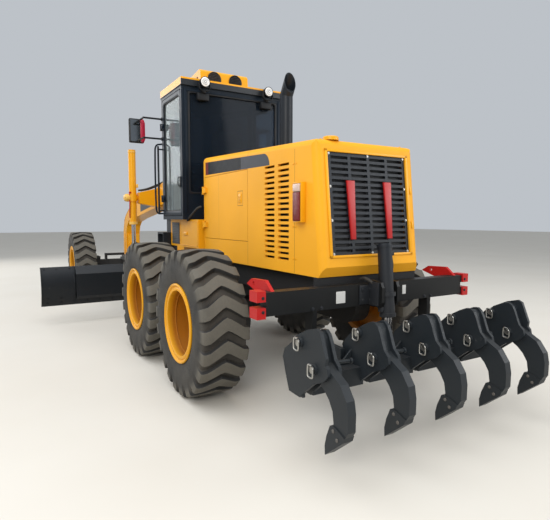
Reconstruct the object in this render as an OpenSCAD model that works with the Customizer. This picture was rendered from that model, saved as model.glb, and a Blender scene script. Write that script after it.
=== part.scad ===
// Motor grader with a rear ripper, built as separate pieces in one frame.
// Millimetres, +X forward, +Y left, +Z up, origin on the ground under the middle of the box.
// Inside the modules X is counted from the tandem centre; place() moves it to the shared frame.

/* [Stance] */
// Front axle to tandem centre
wheelbase = 6219; // [5800:1:6600]
// Distance between the two wheels of a tandem
tandem_spacing = 1538; // [1480:1:1620]
// Middle of the car to the middle of a tyre
track_half = 1088; // [1060:1:1120]

/* [Tyres] */
// Outside diameter over the lugs
tyre_diameter = 1348; // [1300:1:1400]
// Section width of a tyre
tyre_width = 430; // [400:1:445]
// Chevron lugs round a tyre
lug_count = 22; // [18:1:26]
// Depth of the lugs
lug_depth = 46; // [30:1:55]
// Angle by which the middle of a lug runs ahead of its ends
lug_sweep = 7; // [0:0.5:9]

/* [Hood] */
// Half width of the engine hood
hood_half = 530; // [500:1:560]
// Height of the hood top at the cab end
hood_top_front = 2350; // [2300:1:2400]
// Height of the hood top at the rear
hood_top_rear = 2250; // [2200:1:2290]
// Louvre slots in one column of a hood side
louvre_rows = 18; // [10:1:18]
// Rows of slots in the rear grille
grille_rows = 17; // [10:1:17]

/* [Cab] */
// Half width of the cab at its rear
cab_half = 703; // [660:1:720]
// Half width of the cab at the windscreen
cab_front_half = 430; // [380:1:460]
// Height of the roof without the air conditioner
cab_roof_top = 3320; // [3250:1:3380]
// Height of the air conditioner on the roof
cooler_height = 230; // [120:1:240]

/* [Blade] */
// Length of the blade
blade_length = 4270; // [3660:1:4300]
// Height of the blade
blade_height = 610; // [560:1:620]
// Cutting edge above the ground as parked
blade_ground = 270; // [200:1:270]

/* [Ripper] */
// Number of shanks
shank_count = 5; // [3:2:5]
// Distance between two shanks
shank_spacing = 487; // [400:1:490]
// Thickness of a shank
shank_width = 60; // [45:1:66]

/* [Hidden] */
$fn = 40;
fit = 0.3;
run_gap = 6;
hull_fn = 32;

// Wheels
tyre_r = tyre_diameter / 2;
wheel_z = tyre_r;
tandem_half = tandem_spacing / 2;
bead_r = 320;
bead_half = tyre_width / 2 - 45;
shoulder_r = 480;
tread_half = tyre_width / 2 - 12;
rim_flange_r = 358;
rim_flange_t = 10;
rim_face = tyre_width / 2 - 21;
rim_drum_r = bead_r * cos(0.26 * 360 / lug_count) - fit;
rim_wall = 18;
rim_disc_y = -100;
rim_disc_t = 22;
hub_r = 125;
spindle_r = 58;
hub_in = 170;

// Ends of the grader, counted from the tandem centre
front_end = wheelbase + tyre_r;
shank_back = -2860;
frame_shift = -(front_end + shank_back) / 2;

// Rear frame
rail_z0 = 930;
rail_top = 1165;
rail_in = 300;
rail_out = 420;
rail_rear = -1890;
rail_front = 1450;
neck_half = 170;
neck_z0 = 900;
hinge_x = 2050;
hinge_r = 110;
hinge_pin_r = 48;
hinge_z0 = 961;
hinge_z1 = 1266;
hinge_plate = 55;

// Tandems and rear axle
case_in = 640;
case_out = 845;
case_r = 205;
axle_r = 120;

// Hood
hood_front = 430;
hood_bottom = rail_top;
hood_rear_top = -1840;
hood_rear_low = -1950;
hood_low_z = 1245;
hood_wall = 30;
hood_round = 60;
round_n = 8;
hood_long = hood_front - hood_rear_low;
hood_lean = atan2(hood_rear_top - hood_rear_low, hood_top_rear - hood_low_z);
hood_door_x0 = -700;
hood_door_x1 = 400;
hood_door_z0 = 1405;
hood_door_z1 = 2110;
door_gap = 5;
louvre_pitch = 47.6;
louvre_h = 22;
louvre_z0 = 1270;
louvre_cols = [[-1228, -1050], [-1470, -1288]];
grille_half = 420;
grille_low = 90;
grille_high = 915;
grille_cols = 4;
grille_t = 16;
grille_deep = 8;

// Cab
cab_rear = 690;
cab_post = 1480;
cab_front = 2060;
cab_floor = 1620;
cab_floor_t = 40;
cab_wall = 45;
roof_t = 90;
roof_low = cab_roof_top - roof_t;
door_x0 = cab_rear + 35;
door_x1 = cab_post - 40;
door_z0 = cab_floor + 50;
door_z1 = roof_low - 40;
glass_t = 8;
base_half = 600;
base_front = 1480;
base_z0 = 1270;

// Front frame
goose_half = 150;
goose_rear = hinge_x + 180;
saddle_x = 3600;
saddle_z = 2000;
saddle_y = 590;
axle_x = wheelbase;
leg_low = wheel_z + 90;

// Front axle
king_y = 780;
king_r = 40;
king_z0 = wheel_z - 85;
king_z1 = wheel_z + 85;
arm_len = 135;
tie_z = wheel_z - 118;
arm_t = 34;

// Drawbar, circle and blade
nose_x = axle_x - 329;
nose_z = 1040;
circle_x = 3500;
circle_r = 813;
circle_in = 690;
circle_z0 = 930;
circle_z1 = 985;
draw_z0 = 995;
draw_z1 = 1085;
blade_half = blade_length / 2;
blade_r = 478;
blade_t = 20;
blade_back = 3080;
blade_cx = blade_back + blade_r;
blade_cz = blade_ground + blade_height / 2;
lift_eye_y = saddle_y;
lift_eye_z = 1145;
lift_eye_half = 37;

// Ripper
beam_half = 1115;
beam_x0 = -1990;
beam_z0 = 927;
beam_z1 = 1100;
eye_x = -1700;
eye_z = 1131;
end_slot_z = 1014;
end_slot_t = 44;
end_slot_deep = 78;
eye_r = 16;
rip_x = -1930;
rip_z = 660;
rip_lug_y = 600;
ram_x = -2085;
ram_y = -20;
ram_z = 1020;
ram_eye_x = -2125;
ram_eye_z = 575;

yellow = [0.96, 0.68, 0.05];
charcoal = [0.13, 0.14, 0.16];
steel = [0.7, 0.7, 0.72];
red = [0.75, 0.08, 0.07];
rubber = [0.11, 0.11, 0.11];
glass = [0.25, 0.32, 0.36, 0.5];

// Common helpers
module place() translate([frame_shift, 0, 0]) children();
module box(x0, x1, y0, y1, z0, z1) translate([x0, y0, z0]) cube([x1 - x0, y1 - y0, z1 - z0]);
module x_cyl(x0, x1, y, z, r) translate([x0, y, z]) rotate([0, 90, 0]) cylinder(h = x1 - x0, r = r);
module y_cyl(x, y0, y1, z, r) translate([x, y0, z]) rotate([-90, 0, 0]) cylinder(h = y1 - y0, r = r);
module z_cyl(x, y, z0, z1, r) translate([x, y, z0]) cylinder(h = z1 - z0, r = r);
module sheet_y(pts, y0, y1) translate([0, y1, 0]) rotate([90, 0, 0]) linear_extrude(y1 - y0) polygon(pts);
module sheet_x(pts, x0, x1) translate([x0, 0, 0]) rotate([90, 0, 90]) linear_extrude(x1 - x0) polygon(pts);
module sheet_z(pts, z0, z1) translate([0, 0, z0]) linear_extrude(z1 - z0) polygon(pts);
module both_sides() { children(); mirror([0, 1, 0]) children(); }
module right_hand() mirror([0, 1, 0]) children();
module aim(p, q) {
    d = q - p;
    translate(p) rotate([0, -atan2(d[2], norm([d[0], d[1]])), atan2(d[1], d[0])]) children();
}
// A hydraulic barrel lies along +X from -back to front and is open at its front.
module tube_barrel(back, front, r, rod_r) {
    difference() {
        x_cyl(-back, front, 0, 0, r);
        x_cyl(-back + 22, front + 1, 0, 0, rod_r + fit);
    }
}

// Wheels
function tyre_row(a, lug) = [
    [-bead_half, bead_r, a],
    [-tyre_width / 2, shoulder_r, a],
    [-tread_half, (lug ? tyre_r - 6 : tyre_r - 6 - lug_depth), a],
    [0, (lug ? tyre_r : tyre_r - lug_depth), a - lug_sweep],
    [tread_half, (lug ? tyre_r - 6 : tyre_r - 6 - lug_depth), a],
    [tyre_width / 2, shoulder_r, a],
    [bead_half, bead_r, a]];
row_n = 7;
lug_pitch = 360 / lug_count;
lug_steps = [[0, false], [0.28, true], [0.8, true]];
station_n = lug_count * len(lug_steps);
tyre_phase = 270 + lug_sweep - lug_steps[1][0] * lug_pitch;
tyre_pts = [for (l = [0:lug_count - 1]) for (s = lug_steps)
    for (p = tyre_row(tyre_phase + (l + s[0]) * lug_pitch, s[1]))
        [p[1] * cos(p[2]), p[0], p[1] * sin(p[2])]];
tyre_faces = [for (i = [0:station_n - 1]) for (j = [0:row_n - 1]) for (k = [0, 1])
    let (i2 = (i + 1) % station_n, j2 = (j + 1) % row_n)
    k == 0 ? [i * row_n + j, i * row_n + j2, i2 * row_n + j2]
           : [i * row_n + j, i2 * row_n + j2, i2 * row_n + j]];
module tyre(x, side) color(rubber) place() translate([x, side * track_half, wheel_z])
    polyhedron(points = tyre_pts, faces = tyre_faces);

rim_outline = [[rim_drum_r - rim_wall, -rim_face], [rim_flange_r, -rim_face],
    [rim_flange_r, -rim_face + rim_flange_t], [rim_drum_r, -rim_face + rim_flange_t],
    [rim_drum_r, rim_face - rim_flange_t], [rim_flange_r, rim_face - rim_flange_t],
    [rim_flange_r, rim_face], [rim_drum_r - rim_wall, rim_face],
    [rim_drum_r - rim_wall, rim_disc_y + rim_disc_t], [hub_r, rim_disc_y + rim_disc_t],
    [hub_r, rim_disc_y + 80], [spindle_r + fit, rim_disc_y + 80], [spindle_r + fit, -hub_in],
    [hub_r, -hub_in], [hub_r, rim_disc_y], [rim_drum_r - rim_wall, rim_disc_y]];
// The dish opens to the outside of the car: side is 1 on the left and -1 on the right.
module rim(x, side) color(yellow) place() translate([x, side * track_half, wheel_z])
    mirror([0, (side < 0) ? 1 : 0, 0]) rotate([-90, 0, 0]) rotate_extrude($fn = 96) polygon(rim_outline);

// Rear frame and tandems
module rear_frame() color(charcoal) place() difference() {
    union() {
        both_sides() box(rail_rear, rail_front, rail_in, rail_out, rail_z0, rail_top);
        box(rail_rear, rail_rear + 35, -hood_half - 10, hood_half + 10, rail_z0 - 30, rail_top);
        box(-330, 330, -rail_in, rail_in, rail_z0, rail_top);
        box(-260, 260, -rail_out, rail_out, wheel_z + 110, rail_z0);
        box(rail_front - 350, rail_front, -rail_in, rail_in, neck_z0, rail_top);
        box(rail_front, hinge_x, -neck_half, neck_half, hinge_z0 + 8, hinge_z1 - 8);
        box(rail_front, hinge_x - hinge_r - 35, -neck_half, neck_half, neck_z0, hinge_z0 + 9);
        z_cyl(hinge_x, 0, hinge_z0, hinge_z1, hinge_r);
        both_sides() swing_ear(swing_x0, swing_y0);
    }
    z_cyl(hinge_x, 0, hinge_z0 - 1, hinge_z1 + 1, hinge_pin_r + fit);
}
swing_x0 = 1480;
swing_y0 = 500;
swing_x1 = 2450;
swing_y1 = 290;
swing_z = 1010;
swing_pin_r = 25;
// Ears that hold an articulation cylinder at its rear pin
module swing_ear(x, y) {
    for (z = [swing_z - 75, swing_z + 47]) {
        box(x - 130, x, rail_out - 20, y, z, z + 28);
        z_cyl(x, y, z, z + 28, 50);
        box(x - 130, x, y - 1, y + 50, z, z + 28);
    }
    z_cyl(x, y, swing_z - 75, swing_z + 75, swing_pin_r);
}

module tandem_axle() color(charcoal) place() difference() {
    union() {
        both_sides() {
            box(-tandem_half, tandem_half, case_in, case_out, wheel_z - 190, wheel_z + 190);
            for (x = [-tandem_half, tandem_half]) {
                y_cyl(x, case_in, case_out, wheel_z, case_r);
                y_cyl(x, case_out - 5, track_half - hub_in - 1, wheel_z, 110);
                y_cyl(x, case_out, track_half + rim_disc_y + 60, wheel_z, spindle_r);
            }
            y_cyl(0, 300, case_in + 5, wheel_z, 165);
        }
        y_cyl(0, -case_in, case_in, wheel_z, axle_r);
        translate([0, 0, wheel_z]) sphere(r = 215);
    }
    box(-300, 300, -rail_out, rail_out, wheel_z + 110, wheel_z + 300);
}

module engine() color(charcoal) place() box(-1500, 150, -rail_in - 30, rail_in + 30, rail_top, 2050);

// Hood
hood_pts = [[hood_front, hood_bottom], [hood_front, hood_top_front], [hood_rear_top, hood_top_rear],
    [hood_rear_low, hood_low_z], [hood_rear_low + 45, hood_bottom]];
module on_rear_face() translate([hood_rear_low, 0, hood_low_z]) rotate([0, hood_lean, 0]) children();
module grille_opening() on_rear_face() translate([-5, 0, 0])
    rotate([90, 0, 90]) linear_extrude(60) translate([-grille_half, grille_low])
        square([2 * grille_half, grille_high - grille_low]);
hood_slope = atan2(hood_top_front - hood_top_rear, hood_front - hood_rear_top);
top_in = [sin(hood_slope), -cos(hood_slope)];
rear_in = [cos(hood_lean), -sin(hood_lean)];
top_rear = [hood_rear_top, hood_top_rear];
round_at = top_rear + hood_round / (1 + top_in * rear_in) * (top_in + rear_in);
module on_top_face() translate([hood_front, 0, hood_top_front]) rotate([0, -hood_slope, 0]) children();
function arc(c, r, a0, a1) = [for (k = [0:round_n])
    let (a = a0 + (a1 - a0) * k / round_n) [c[0] + r * cos(a), c[1] + r * sin(a)]];
// What a rounded corner takes off outside x = a and y = b; its arc ends just outside the faces
round_over = 0.5;
function corner_cut(a, b, r) = concat([[a + 20, b - r]], arc([a - r, b - r], r + round_over, 0, 90),
    [[a - r, b + 20], [a + 20, b + 20]]);
// What the rounding takes off the long top edges, the upright rear edges and the top rear edge
module hood_edges() {
    both_sides() on_top_face() translate([-hood_long - 50, 0, 0]) rotate([90, 0, 90])
        linear_extrude(hood_long + 100) polygon(corner_cut(hood_half, 0, hood_round));
    both_sides() on_rear_face() translate([0, 0, -130]) rotate([0, 0, 90])
        linear_extrude(hood_long / 2 + 130) polygon(corner_cut(hood_half, 0, hood_round));
    sheet_y(concat(arc(round_at, hood_round + round_over, 90 + hood_slope, 180 - hood_lean),
        [round_at - (hood_round + 20) * rear_in, top_rear - 30 * (top_in + rear_in),
        round_at - (hood_round + 20) * top_in]), -hood_half - 30, hood_half + 30);
}
module hood() color(yellow) place() difference() {
    union() {
        difference() {
            sheet_y(hood_pts, -hood_half, hood_half);
            hood_edges();
            translate([0, hood_half - hood_wall, 0]) rotate([90, 0, 0])
                linear_extrude(2 * (hood_half - hood_wall)) offset(delta = -hood_wall) polygon(hood_pts);
            box(hood_rear_low + 90, hood_front - hood_wall, -hood_half + hood_wall, hood_half - hood_wall,
                hood_bottom - 1, hood_bottom + 50);
        }
        both_sides() for (z = hood_hinge_z)
            hinge_seat(hood_hinge_x, hood_half, z, hood_door_x1 + door_gap, 24);
    }
    grille_opening();
    box(hood_door_x0 - door_gap, hood_door_x1 + door_gap, -hood_half - 1, hood_half + 1,
        hood_door_z0 - door_gap, hood_door_z1 + door_gap);
    translate([0, hood_half + 1, 0]) rotate([90, 0, 0]) linear_extrude(2 * hood_half + 2)
        for (c = louvre_cols) for (k = [0:louvre_rows - 1])
            translate([c[0], louvre_z0 + k * louvre_pitch]) square([c[1] - c[0], louvre_h]);
}
hood_hinge_x = hood_door_x1 + door_gap / 2;
hood_hinge_z = [1560, 1960];
cab_hinge_x = door_x1 + door_gap / 2;
cab_hinge_z = [1900, 2850];
pin_out = 20;
// Fixed half of a door hinge: pin and two lugs on the surface at y
module hinge_seat(x, y, z, edge, reach) {
    z_cyl(x, y + pin_out, z - 45, z + 45, 8);
    for (dz = [-45, 31]) {
        box(x - 8, edge + reach, y + pin_out - 13, y + pin_out + 8, z + dz, z + dz + 14);
        box(edge + 2, edge + reach, y - 4, y + pin_out - 12, z + dz, z + dz + 14);
    }
}
// Moving half of a door hinge: barrel and leaf
module hinge_leaf(x, y, z) difference() {
    union() {
        z_cyl(x, y + pin_out, z - 30, z + 30, 14);
        box(x - 70, x, y + pin_out - 6, y + pin_out + 6, z - 28, z + 28);
        box(x - 70, x - 20, y - 2, y + pin_out, z - 28, z + 28);
    }
    z_cyl(x, y + pin_out, z - 50, z + 50, 8 + fit);
}
module hood_door() {
    box(hood_door_x0, hood_door_x1, hood_half - hood_wall, hood_half, hood_door_z0, hood_door_z1);
    for (z = hood_hinge_z) hinge_leaf(hood_hinge_x, hood_half, z);
}
module hood_door_left() color(yellow) place() hood_door();
module hood_door_right() color(yellow) place() right_hand() hood_door();

grille_slot_w = 172;
grille_slot_h = 24;
module hood_grille() color(charcoal) place() {
    on_rear_face() translate([grille_deep, 0, 0]) rotate([90, 0, 90]) linear_extrude(grille_t) difference() {
        translate([-grille_half, grille_low]) square([2 * grille_half, grille_high - grille_low]);
        for (c = [0:grille_cols - 1]) for (k = [0:grille_rows - 1])
            translate([-grille_half + 30 + c * (2 * grille_half - 42) / grille_cols,
                grille_low + 24 + k * (grille_high - grille_low - 30) / grille_rows])
                square([grille_slot_w, grille_slot_h]);
    }
}

module lamps() color(red) place() both_sides() {
    box(-1722, -1612, hood_half, hood_half + 46, 1600, 1915);
    union() {
        x_cyl(roof_rear - 95, roof_rear - 20, 440, roof_low + 40, 55);
        box(roof_rear - 50, roof_rear, 425, 455, roof_low + 10, roof_low + 70);
    }
}

stack_x = -410;
stack_y = -100;
stack_r = 70;
stack_top = 2960;
module exhaust() color(charcoal) place() difference() {
    union() {
        z_cyl(stack_x, stack_y, 2280, 2345, stack_r + 45);
        z_cyl(stack_x, stack_y, 2280, stack_top, stack_r);
        translate([stack_x, stack_y, stack_top]) sphere(r = stack_r);
        translate([stack_x, stack_y, stack_top]) rotate([0, -32, 0]) difference() {
            cylinder(h = 230, r = stack_r);
            translate([0, 0, 60]) cylinder(h = 200, r = stack_r - 7);
            translate([-stack_r, -150, 60]) rotate([0, -50, 0]) cube([500, 300, 300]);
        }
    }
    sheet_y(hood_pts, -hood_half, hood_half);
}

// Cab
module cab_base() color(yellow) place() {
    box(hood_front + 20, rail_front, -rail_out, rail_out, rail_top, base_z0);
    box(hood_front + 20, base_front, -base_half, base_half, base_z0, cab_floor);
}
cab_plan = [[cab_rear, -cab_half], [cab_post, -cab_half], [cab_front, -cab_front_half],
    [cab_front, cab_front_half], [cab_post, cab_half], [cab_rear, cab_half]];
win_z0 = cab_floor + 130;
win_z1 = roof_low - 70;
module cab_windows() {
    box(cab_rear - 20, cab_rear + 60, -cab_half + 95, cab_half - 95, win_z0 + 200, win_z1);
    box(cab_post + 60, cab_front - 70, -cab_half - 1, cab_half + 1, win_z0, win_z1);
    box(cab_front - 60, cab_front + 20, -cab_front_half + 60, cab_front_half - 60, win_z0, win_z1);
}
module cab_frame() color(charcoal) place() {
    difference() {
        translate([0, 0, cab_floor]) linear_extrude(roof_low - cab_floor) polygon(cab_plan);
        translate([0, 0, cab_floor + cab_floor_t]) linear_extrude(roof_low - cab_floor)
            offset(delta = -cab_wall) polygon(cab_plan);
        cab_windows();
        box(door_x0 - door_gap, door_x1 + door_gap, -cab_half - 1, cab_half + 1,
            door_z0 - door_gap, door_z1 + door_gap);
    }
    both_sides() for (z = cab_hinge_z) hinge_seat(cab_hinge_x, cab_half, z, door_x1 + door_gap, 30);
}
roof_rear = cab_rear - 30;
cooler_x = roof_rear + 300;
cooler_half = 340;
module cab_roof() color(yellow) place() {
    translate([0, 0, roof_low]) linear_extrude(roof_t) polygon([[roof_rear, -cab_half - 10],
        [cab_post, -cab_half - 10], [cab_front + 60, -cab_front_half - 20],
        [cab_front + 60, cab_front_half + 20], [cab_post, cab_half + 10], [roof_rear, cab_half + 10]]);
    sheet_y([[cooler_x, cab_roof_top], [cooler_x + 15, cab_roof_top + cooler_height - 30],
        [cooler_x + 50, cab_roof_top + cooler_height], [cooler_x + 460, cab_roof_top + cooler_height - 40],
        [cooler_x + 600, cab_roof_top]], -cooler_half, cooler_half);
}
module cab_glass() color(glass) place() intersection() {
    cab_windows();
    translate([0, 0, cab_floor]) linear_extrude(roof_low - cab_floor) difference() {
        offset(delta = -18) polygon(cab_plan);
        offset(delta = -18 - glass_t) polygon(cab_plan);
    }
}
module cab_door() difference() {
    union() {
        difference() {
            box(door_x0, door_x1, cab_half - 40, cab_half, door_z0, door_z1);
            box(door_x0 + 55, door_x1 - 55, cab_half - 41, cab_half + 1, door_z0 + 70, door_z1 - 60);
        }
        box(door_x0 + 50, door_x1 - 50, cab_half - 26, cab_half - 18, door_z0 + 60, door_z1 - 50);
        for (z = cab_hinge_z) hinge_leaf(cab_hinge_x, cab_half, z);
    }
}
module cab_door_left() color(charcoal) place() cab_door();
module cab_door_right() color(charcoal) place() right_hand() cab_door();
module seat() color(charcoal) place() {
    box(1080, 1380, -160, 160, cab_floor + cab_floor_t, 2040);
    box(980, 1450, -250, 250, 2040, 2160);
    sheet_y([[980, 2160], [1080, 2160], [1010, 2780], [930, 2780]], -240, 240);
    both_sides() box(1000, 1330, 260, 330, 2240, 2290);
    both_sides() box(1000, 1070, 240, 330, 2100, 2290);
}
module console() color(charcoal) place() {
    sheet_y([[1640, cab_floor + cab_floor_t], [1900, cab_floor + cab_floor_t], [1800, 2300],
        [1730, 2300]], -110, 110);
    translate([1725, 0, 2330]) rotate([0, -35, 0]) difference() {
        cylinder(h = 30, r = 205);
        translate([0, 0, -1]) difference() {
            cylinder(h = 32, r = 175);
            for (a = [0, 120, 240]) rotate([0, 0, a]) translate([0, -16, -1]) cube([200, 32, 40]);
            cylinder(h = 40, r = 45);
        }
    }
    translate([1725, 0, 2330]) rotate([0, -35, 0]) translate([0, 0, -90]) cylinder(h = 100, r = 32);
}
step_y = 560;
module steps() color(charcoal) place() both_sides() {
    difference() {
        union() {
            box(1485, 1745, step_y, step_y + 14, 930, cab_floor);
            for (z = [930, 1180, 1420]) box(1485, 1745, step_y, step_y + 150, z, z + 24);
            for (x = [1485, 1731]) box(x, x + 14, step_y, step_y + 150, 930, 1444);
        }
        for (z = [1000, 1240]) box(1530, 1700, step_y - 1, step_y + 15, z, z + 140);
    }
    union() {
        z_cyl(1466, cab_half + 60, 1700, 2600, 13);
        for (z = [1740, 2560]) y_cyl(1466, cab_half, cab_half + 60, z, 10);
    }
}
module mirrors() color(charcoal) place() both_sides() {
    for (z = [2700, 2960]) {
        y_cyl(1466, cab_half, 950, z, 12);
        x_cyl(1466, 1740, 950, z, 12);
        translate([1466, 950, z]) sphere(r = 12);
    }
    box(1730, 1772, 880, 1070, 2670, 2985);
}

// Ripper
ram_r = 58;
ram_rod_r = 30;
ram_lug_gap = 31;
module ripper_mount() color(charcoal) place() {
    difference() {
        union() {
            box(beam_x0, rail_rear, -beam_half, beam_half, beam_z0, beam_z1);
            both_sides() {
                box(beam_x0 - 14, rail_rear, beam_half - 60, beam_half + 12, beam_z0 - 14, beam_z1 + 14);
                sheet_y([[beam_x0 + 13, beam_z1 - 40], [beam_x0 + 13, beam_z1 - 4],
                    [beam_x0 + 113, beam_z1 + 73], [eye_x + 33, beam_z1 + 66], [eye_x + 113, beam_z1 + 19],
                    [eye_x - 32, beam_z1 - 24]], beam_half - 150, beam_half - 122);
                sheet_y([[beam_x0, beam_z0 + 1], [rail_rear, beam_z0 + 1], [rip_x + 45, rip_z - 20],
                    [rip_x + 20, rip_z - 55], [rip_x - 20, rip_z - 55], [rip_x - 50, rip_z - 15]],
                    rip_lug_y, rip_lug_y + 40);
                y_cyl(rip_x, rip_lug_y - 34, rip_lug_y + 20, rip_z, 28);
            }
            for (s = [-1, 1]) translate([0, ram_y + s * 82, 0])
                sheet_y([[beam_x0 + 1, 915], [beam_x0 + 1, 1134], [ram_x - 30, 1120], [ram_x - 48, 1080],
                    [ram_x - 48, 960], [ram_x - 30, 925]], -14, 14);
        }
        y_cyl(ram_x, ram_y - 200, ram_y + 200, ram_z, 26 + fit);
        both_sides() y_cyl(eye_x, beam_half - 200, beam_half - 100, eye_z, eye_r);
        both_sides() box(beam_x0 - 15, rail_rear + 1, beam_half - end_slot_deep, beam_half + 13,
            end_slot_z - end_slot_t / 2, end_slot_z + end_slot_t / 2);
    }
}
holder_pts = [[-2270, 475], [-2235, 560], [-2228, 706], [-2255, 760], [-2349, 846], [-2459, 908],
    [-2520, 935], [-2560, 938], [-2590, 915], [-2611, 875], [-2631, 820], [-2652, 770], [-2690, 735],
    [-2700, 690], [-2660, 650], [-2546, 598], [-2451, 520], [-2400, 470]];
end_plate_pts = [[-2190, 690], [-2213, 751], [-2305, 817], [-2361, 874], [-2487, 934], [-2577, 958],
    [-2616, 941], [-2646, 866], [-2676, 792], [-2669, 732], [-2614, 660], [-2478, 556], [-2393, 511],
    [-2307, 502], [-2230, 573]];
holder_t = 24;
pin_spots = [[-2406, 836], [-2565, 702]];
shank_ys = [for (k = [0:shank_count - 1]) (k - (shank_count - 1) / 2) * shank_spacing];
box_x0 = -2430;
box_x1 = -2270;
module ripper_frame() color(charcoal) place() difference() {
    union() {
        box(box_x0, box_x1, shank_ys[0] - shank_width / 2 - 20, -shank_ys[0] + shank_width / 2 + 20,
            475, 600);
        for (y = shank_ys) {
            for (s = [-1, 1]) translate([0, y + s * (shank_width / 2 + fit + holder_t / 2), 0])
                sheet_y(holder_pts, -holder_t / 2, holder_t / 2);
            for (p = pin_spots) y_cyl(p[0], y - shank_width / 2 - 44, y + shank_width / 2 + 44, p[1], 17);
        }
        both_sides() {
            translate([0, -shank_ys[0] + shank_width / 2 + fit, 0]) sheet_y(end_plate_pts, 0, holder_t);
            sheet_y([[box_x1 - 10, 480], [rip_x - 30, rip_z - 62], [rip_x + 40, rip_z - 50],
                [rip_x + 62, rip_z + 20], [rip_x, rip_z + 66], [box_x1 - 10, 700]],
                rip_lug_y - 34, rip_lug_y - fit);
        }
        for (s = [-1, 1]) translate([0, ram_y + s * (ram_lug_gap + 12 + fit), 0])
            sheet_y([[box_x1 - 5, 480], [ram_eye_x + 5, ram_eye_z - 48], [ram_eye_x + 40, ram_eye_z - 20],
                [ram_eye_x + 40, ram_eye_z + 25], [ram_eye_x, ram_eye_z + 45], [box_x1 - 5, 620]], -12, 12);
    }
    for (y = shank_ys) box(box_x0 - 1, box_x1 - 60, y - shank_width / 2 - fit, y + shank_width / 2 + fit,
        474, 601);
    both_sides() y_cyl(rip_x, rip_lug_y - 40, rip_lug_y + 1, rip_z, 28 + fit);
}
shank_pts = [[-2352, 815], [-2362, 846], [-2385, 866], [-2455, 896], [-2515, 922], [-2556, 925],
    [-2585, 895], [-2606, 820], [-2629, 751], [-2700, 710], [-2786, 663], [-2845, 582], [shank_back, 504],
    [-2858, 400], [-2836, 365], [-2795, 383], [-2755, 396], [-2727, 400], [-2727, 418], [-2716, 485],
    [-2680, 542], [-2634, 586], [-2588, 615], [-2530, 655], [-2490, 715], [-2440, 762]];
tip_pts = [[-2836, 365], [-2824, 332], [-2655, 192], [-2652, 252], [-2668, 315], [-2702, 394],
    [-2727, 400], [-2755, 396], [-2795, 383]];
module ripper_shanks() color(charcoal) place() difference() {
    for (y = shank_ys) sheet_y(shank_pts, y - shank_width / 2, y + shank_width / 2);
    for (p = pin_spots) y_cyl(p[0], shank_ys[0] - 100, -shank_ys[0] + 100, p[1], 17 + fit);
}
module ripper_tips() color(charcoal) place()
    for (y = shank_ys) sheet_y(tip_pts, y - shank_width / 2 - 8, y + shank_width / 2 + 8);
ram_top = [ram_x, ram_y, ram_z];
ram_eye = [ram_eye_x, ram_y, ram_eye_z];
module ripper_barrel() color(charcoal) place() {
    aim(ram_top, ram_eye) {
        tube_barrel(400, 185, ram_r, ram_rod_r);
        for (s = [-1, 1]) rotate([0, 0, 0]) y_cyl(0, s > 0 ? ram_r - 8 : -94, s > 0 ? 94 : 8 - ram_r, 0, 26);
    }
}
module ripper_rod() color(steel) place() aim(ram_eye, ram_top) {
    x_cyl(20, norm(ram_top - ram_eye) + 270, 0, 0, ram_rod_r);
    y_cyl(0, -ram_lug_gap, ram_lug_gap, 0, 42);
}

// Front frame
goose_pts = [[goose_rear, hinge_z0 - 61], [goose_rear, 1700], [goose_rear + 40, 1900],
    [goose_rear + 120, 2080], [goose_rear + 240, 2200], [goose_rear + 400, 2255],
    [saddle_x - 300, 2260], [saddle_x + 200, 2160], [axle_x - 819, 1960], [axle_x - 219, 1760],
    [axle_x + 11, 1600], [axle_x + 111, 1380], [axle_x + 151, leg_low], [axle_x - 139, leg_low],
    [axle_x - 149, 1300], [axle_x - 229, 1470], [axle_x - 379, 1570], [axle_x - 869, 1650],
    [saddle_x + 200, 1830], [saddle_x - 300, 1890], [goose_rear + 670, 1860], [goose_rear + 490, 1780],
    [goose_rear + 380, 1640], [goose_rear + 330, 1420], [goose_rear + 320, hinge_z0 - 61]];
module front_frame() color(yellow) place() difference() {
    union() {
        sheet_y(goose_pts, -goose_half, goose_half);
        for (z = [hinge_z0 - 61, hinge_z1 + 6]) {
            z_cyl(hinge_x, 0, z, z + hinge_plate, hinge_r + 15);
            box(hinge_x, goose_rear + 10, -hinge_r - 15, hinge_r + 15, z, z + hinge_plate);
        }
        z_cyl(hinge_x, 0, hinge_z0 - 61, hinge_z1 + 61, hinge_pin_r);
        both_sides() {
            sheet_x([[0, 1880], [goose_half, 1840], [saddle_y - 95, 1905], [saddle_y - 95, 2095],
                [goose_half, 2180], [0, 2190]], saddle_x - 100, saddle_x + 100);
            y_cyl(saddle_x, saddle_y - 150, saddle_y - 88, saddle_z, 100);
            z_cyl(swing_x1, swing_y1, swing_z + 41, swing_z + 69, 50);
            box(swing_x1 - 70, swing_x1 + 70, goose_half - 10, swing_y1, swing_z + 41, swing_z + 69);
        }
        box(nose_x + 110, axle_x - 119, -120, 120, leg_low + 60, 1290);
        x_cyl(nose_x + 60, nose_x + 115, 0, nose_z, 95);
    }
    both_sides() y_cyl(saddle_x, saddle_y - 200, saddle_y - 50, saddle_z, 36 + fit);
    translate([nose_x, 0, nose_z]) sphere(r = nose_r + fit);
}
nose_r = 80;

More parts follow.
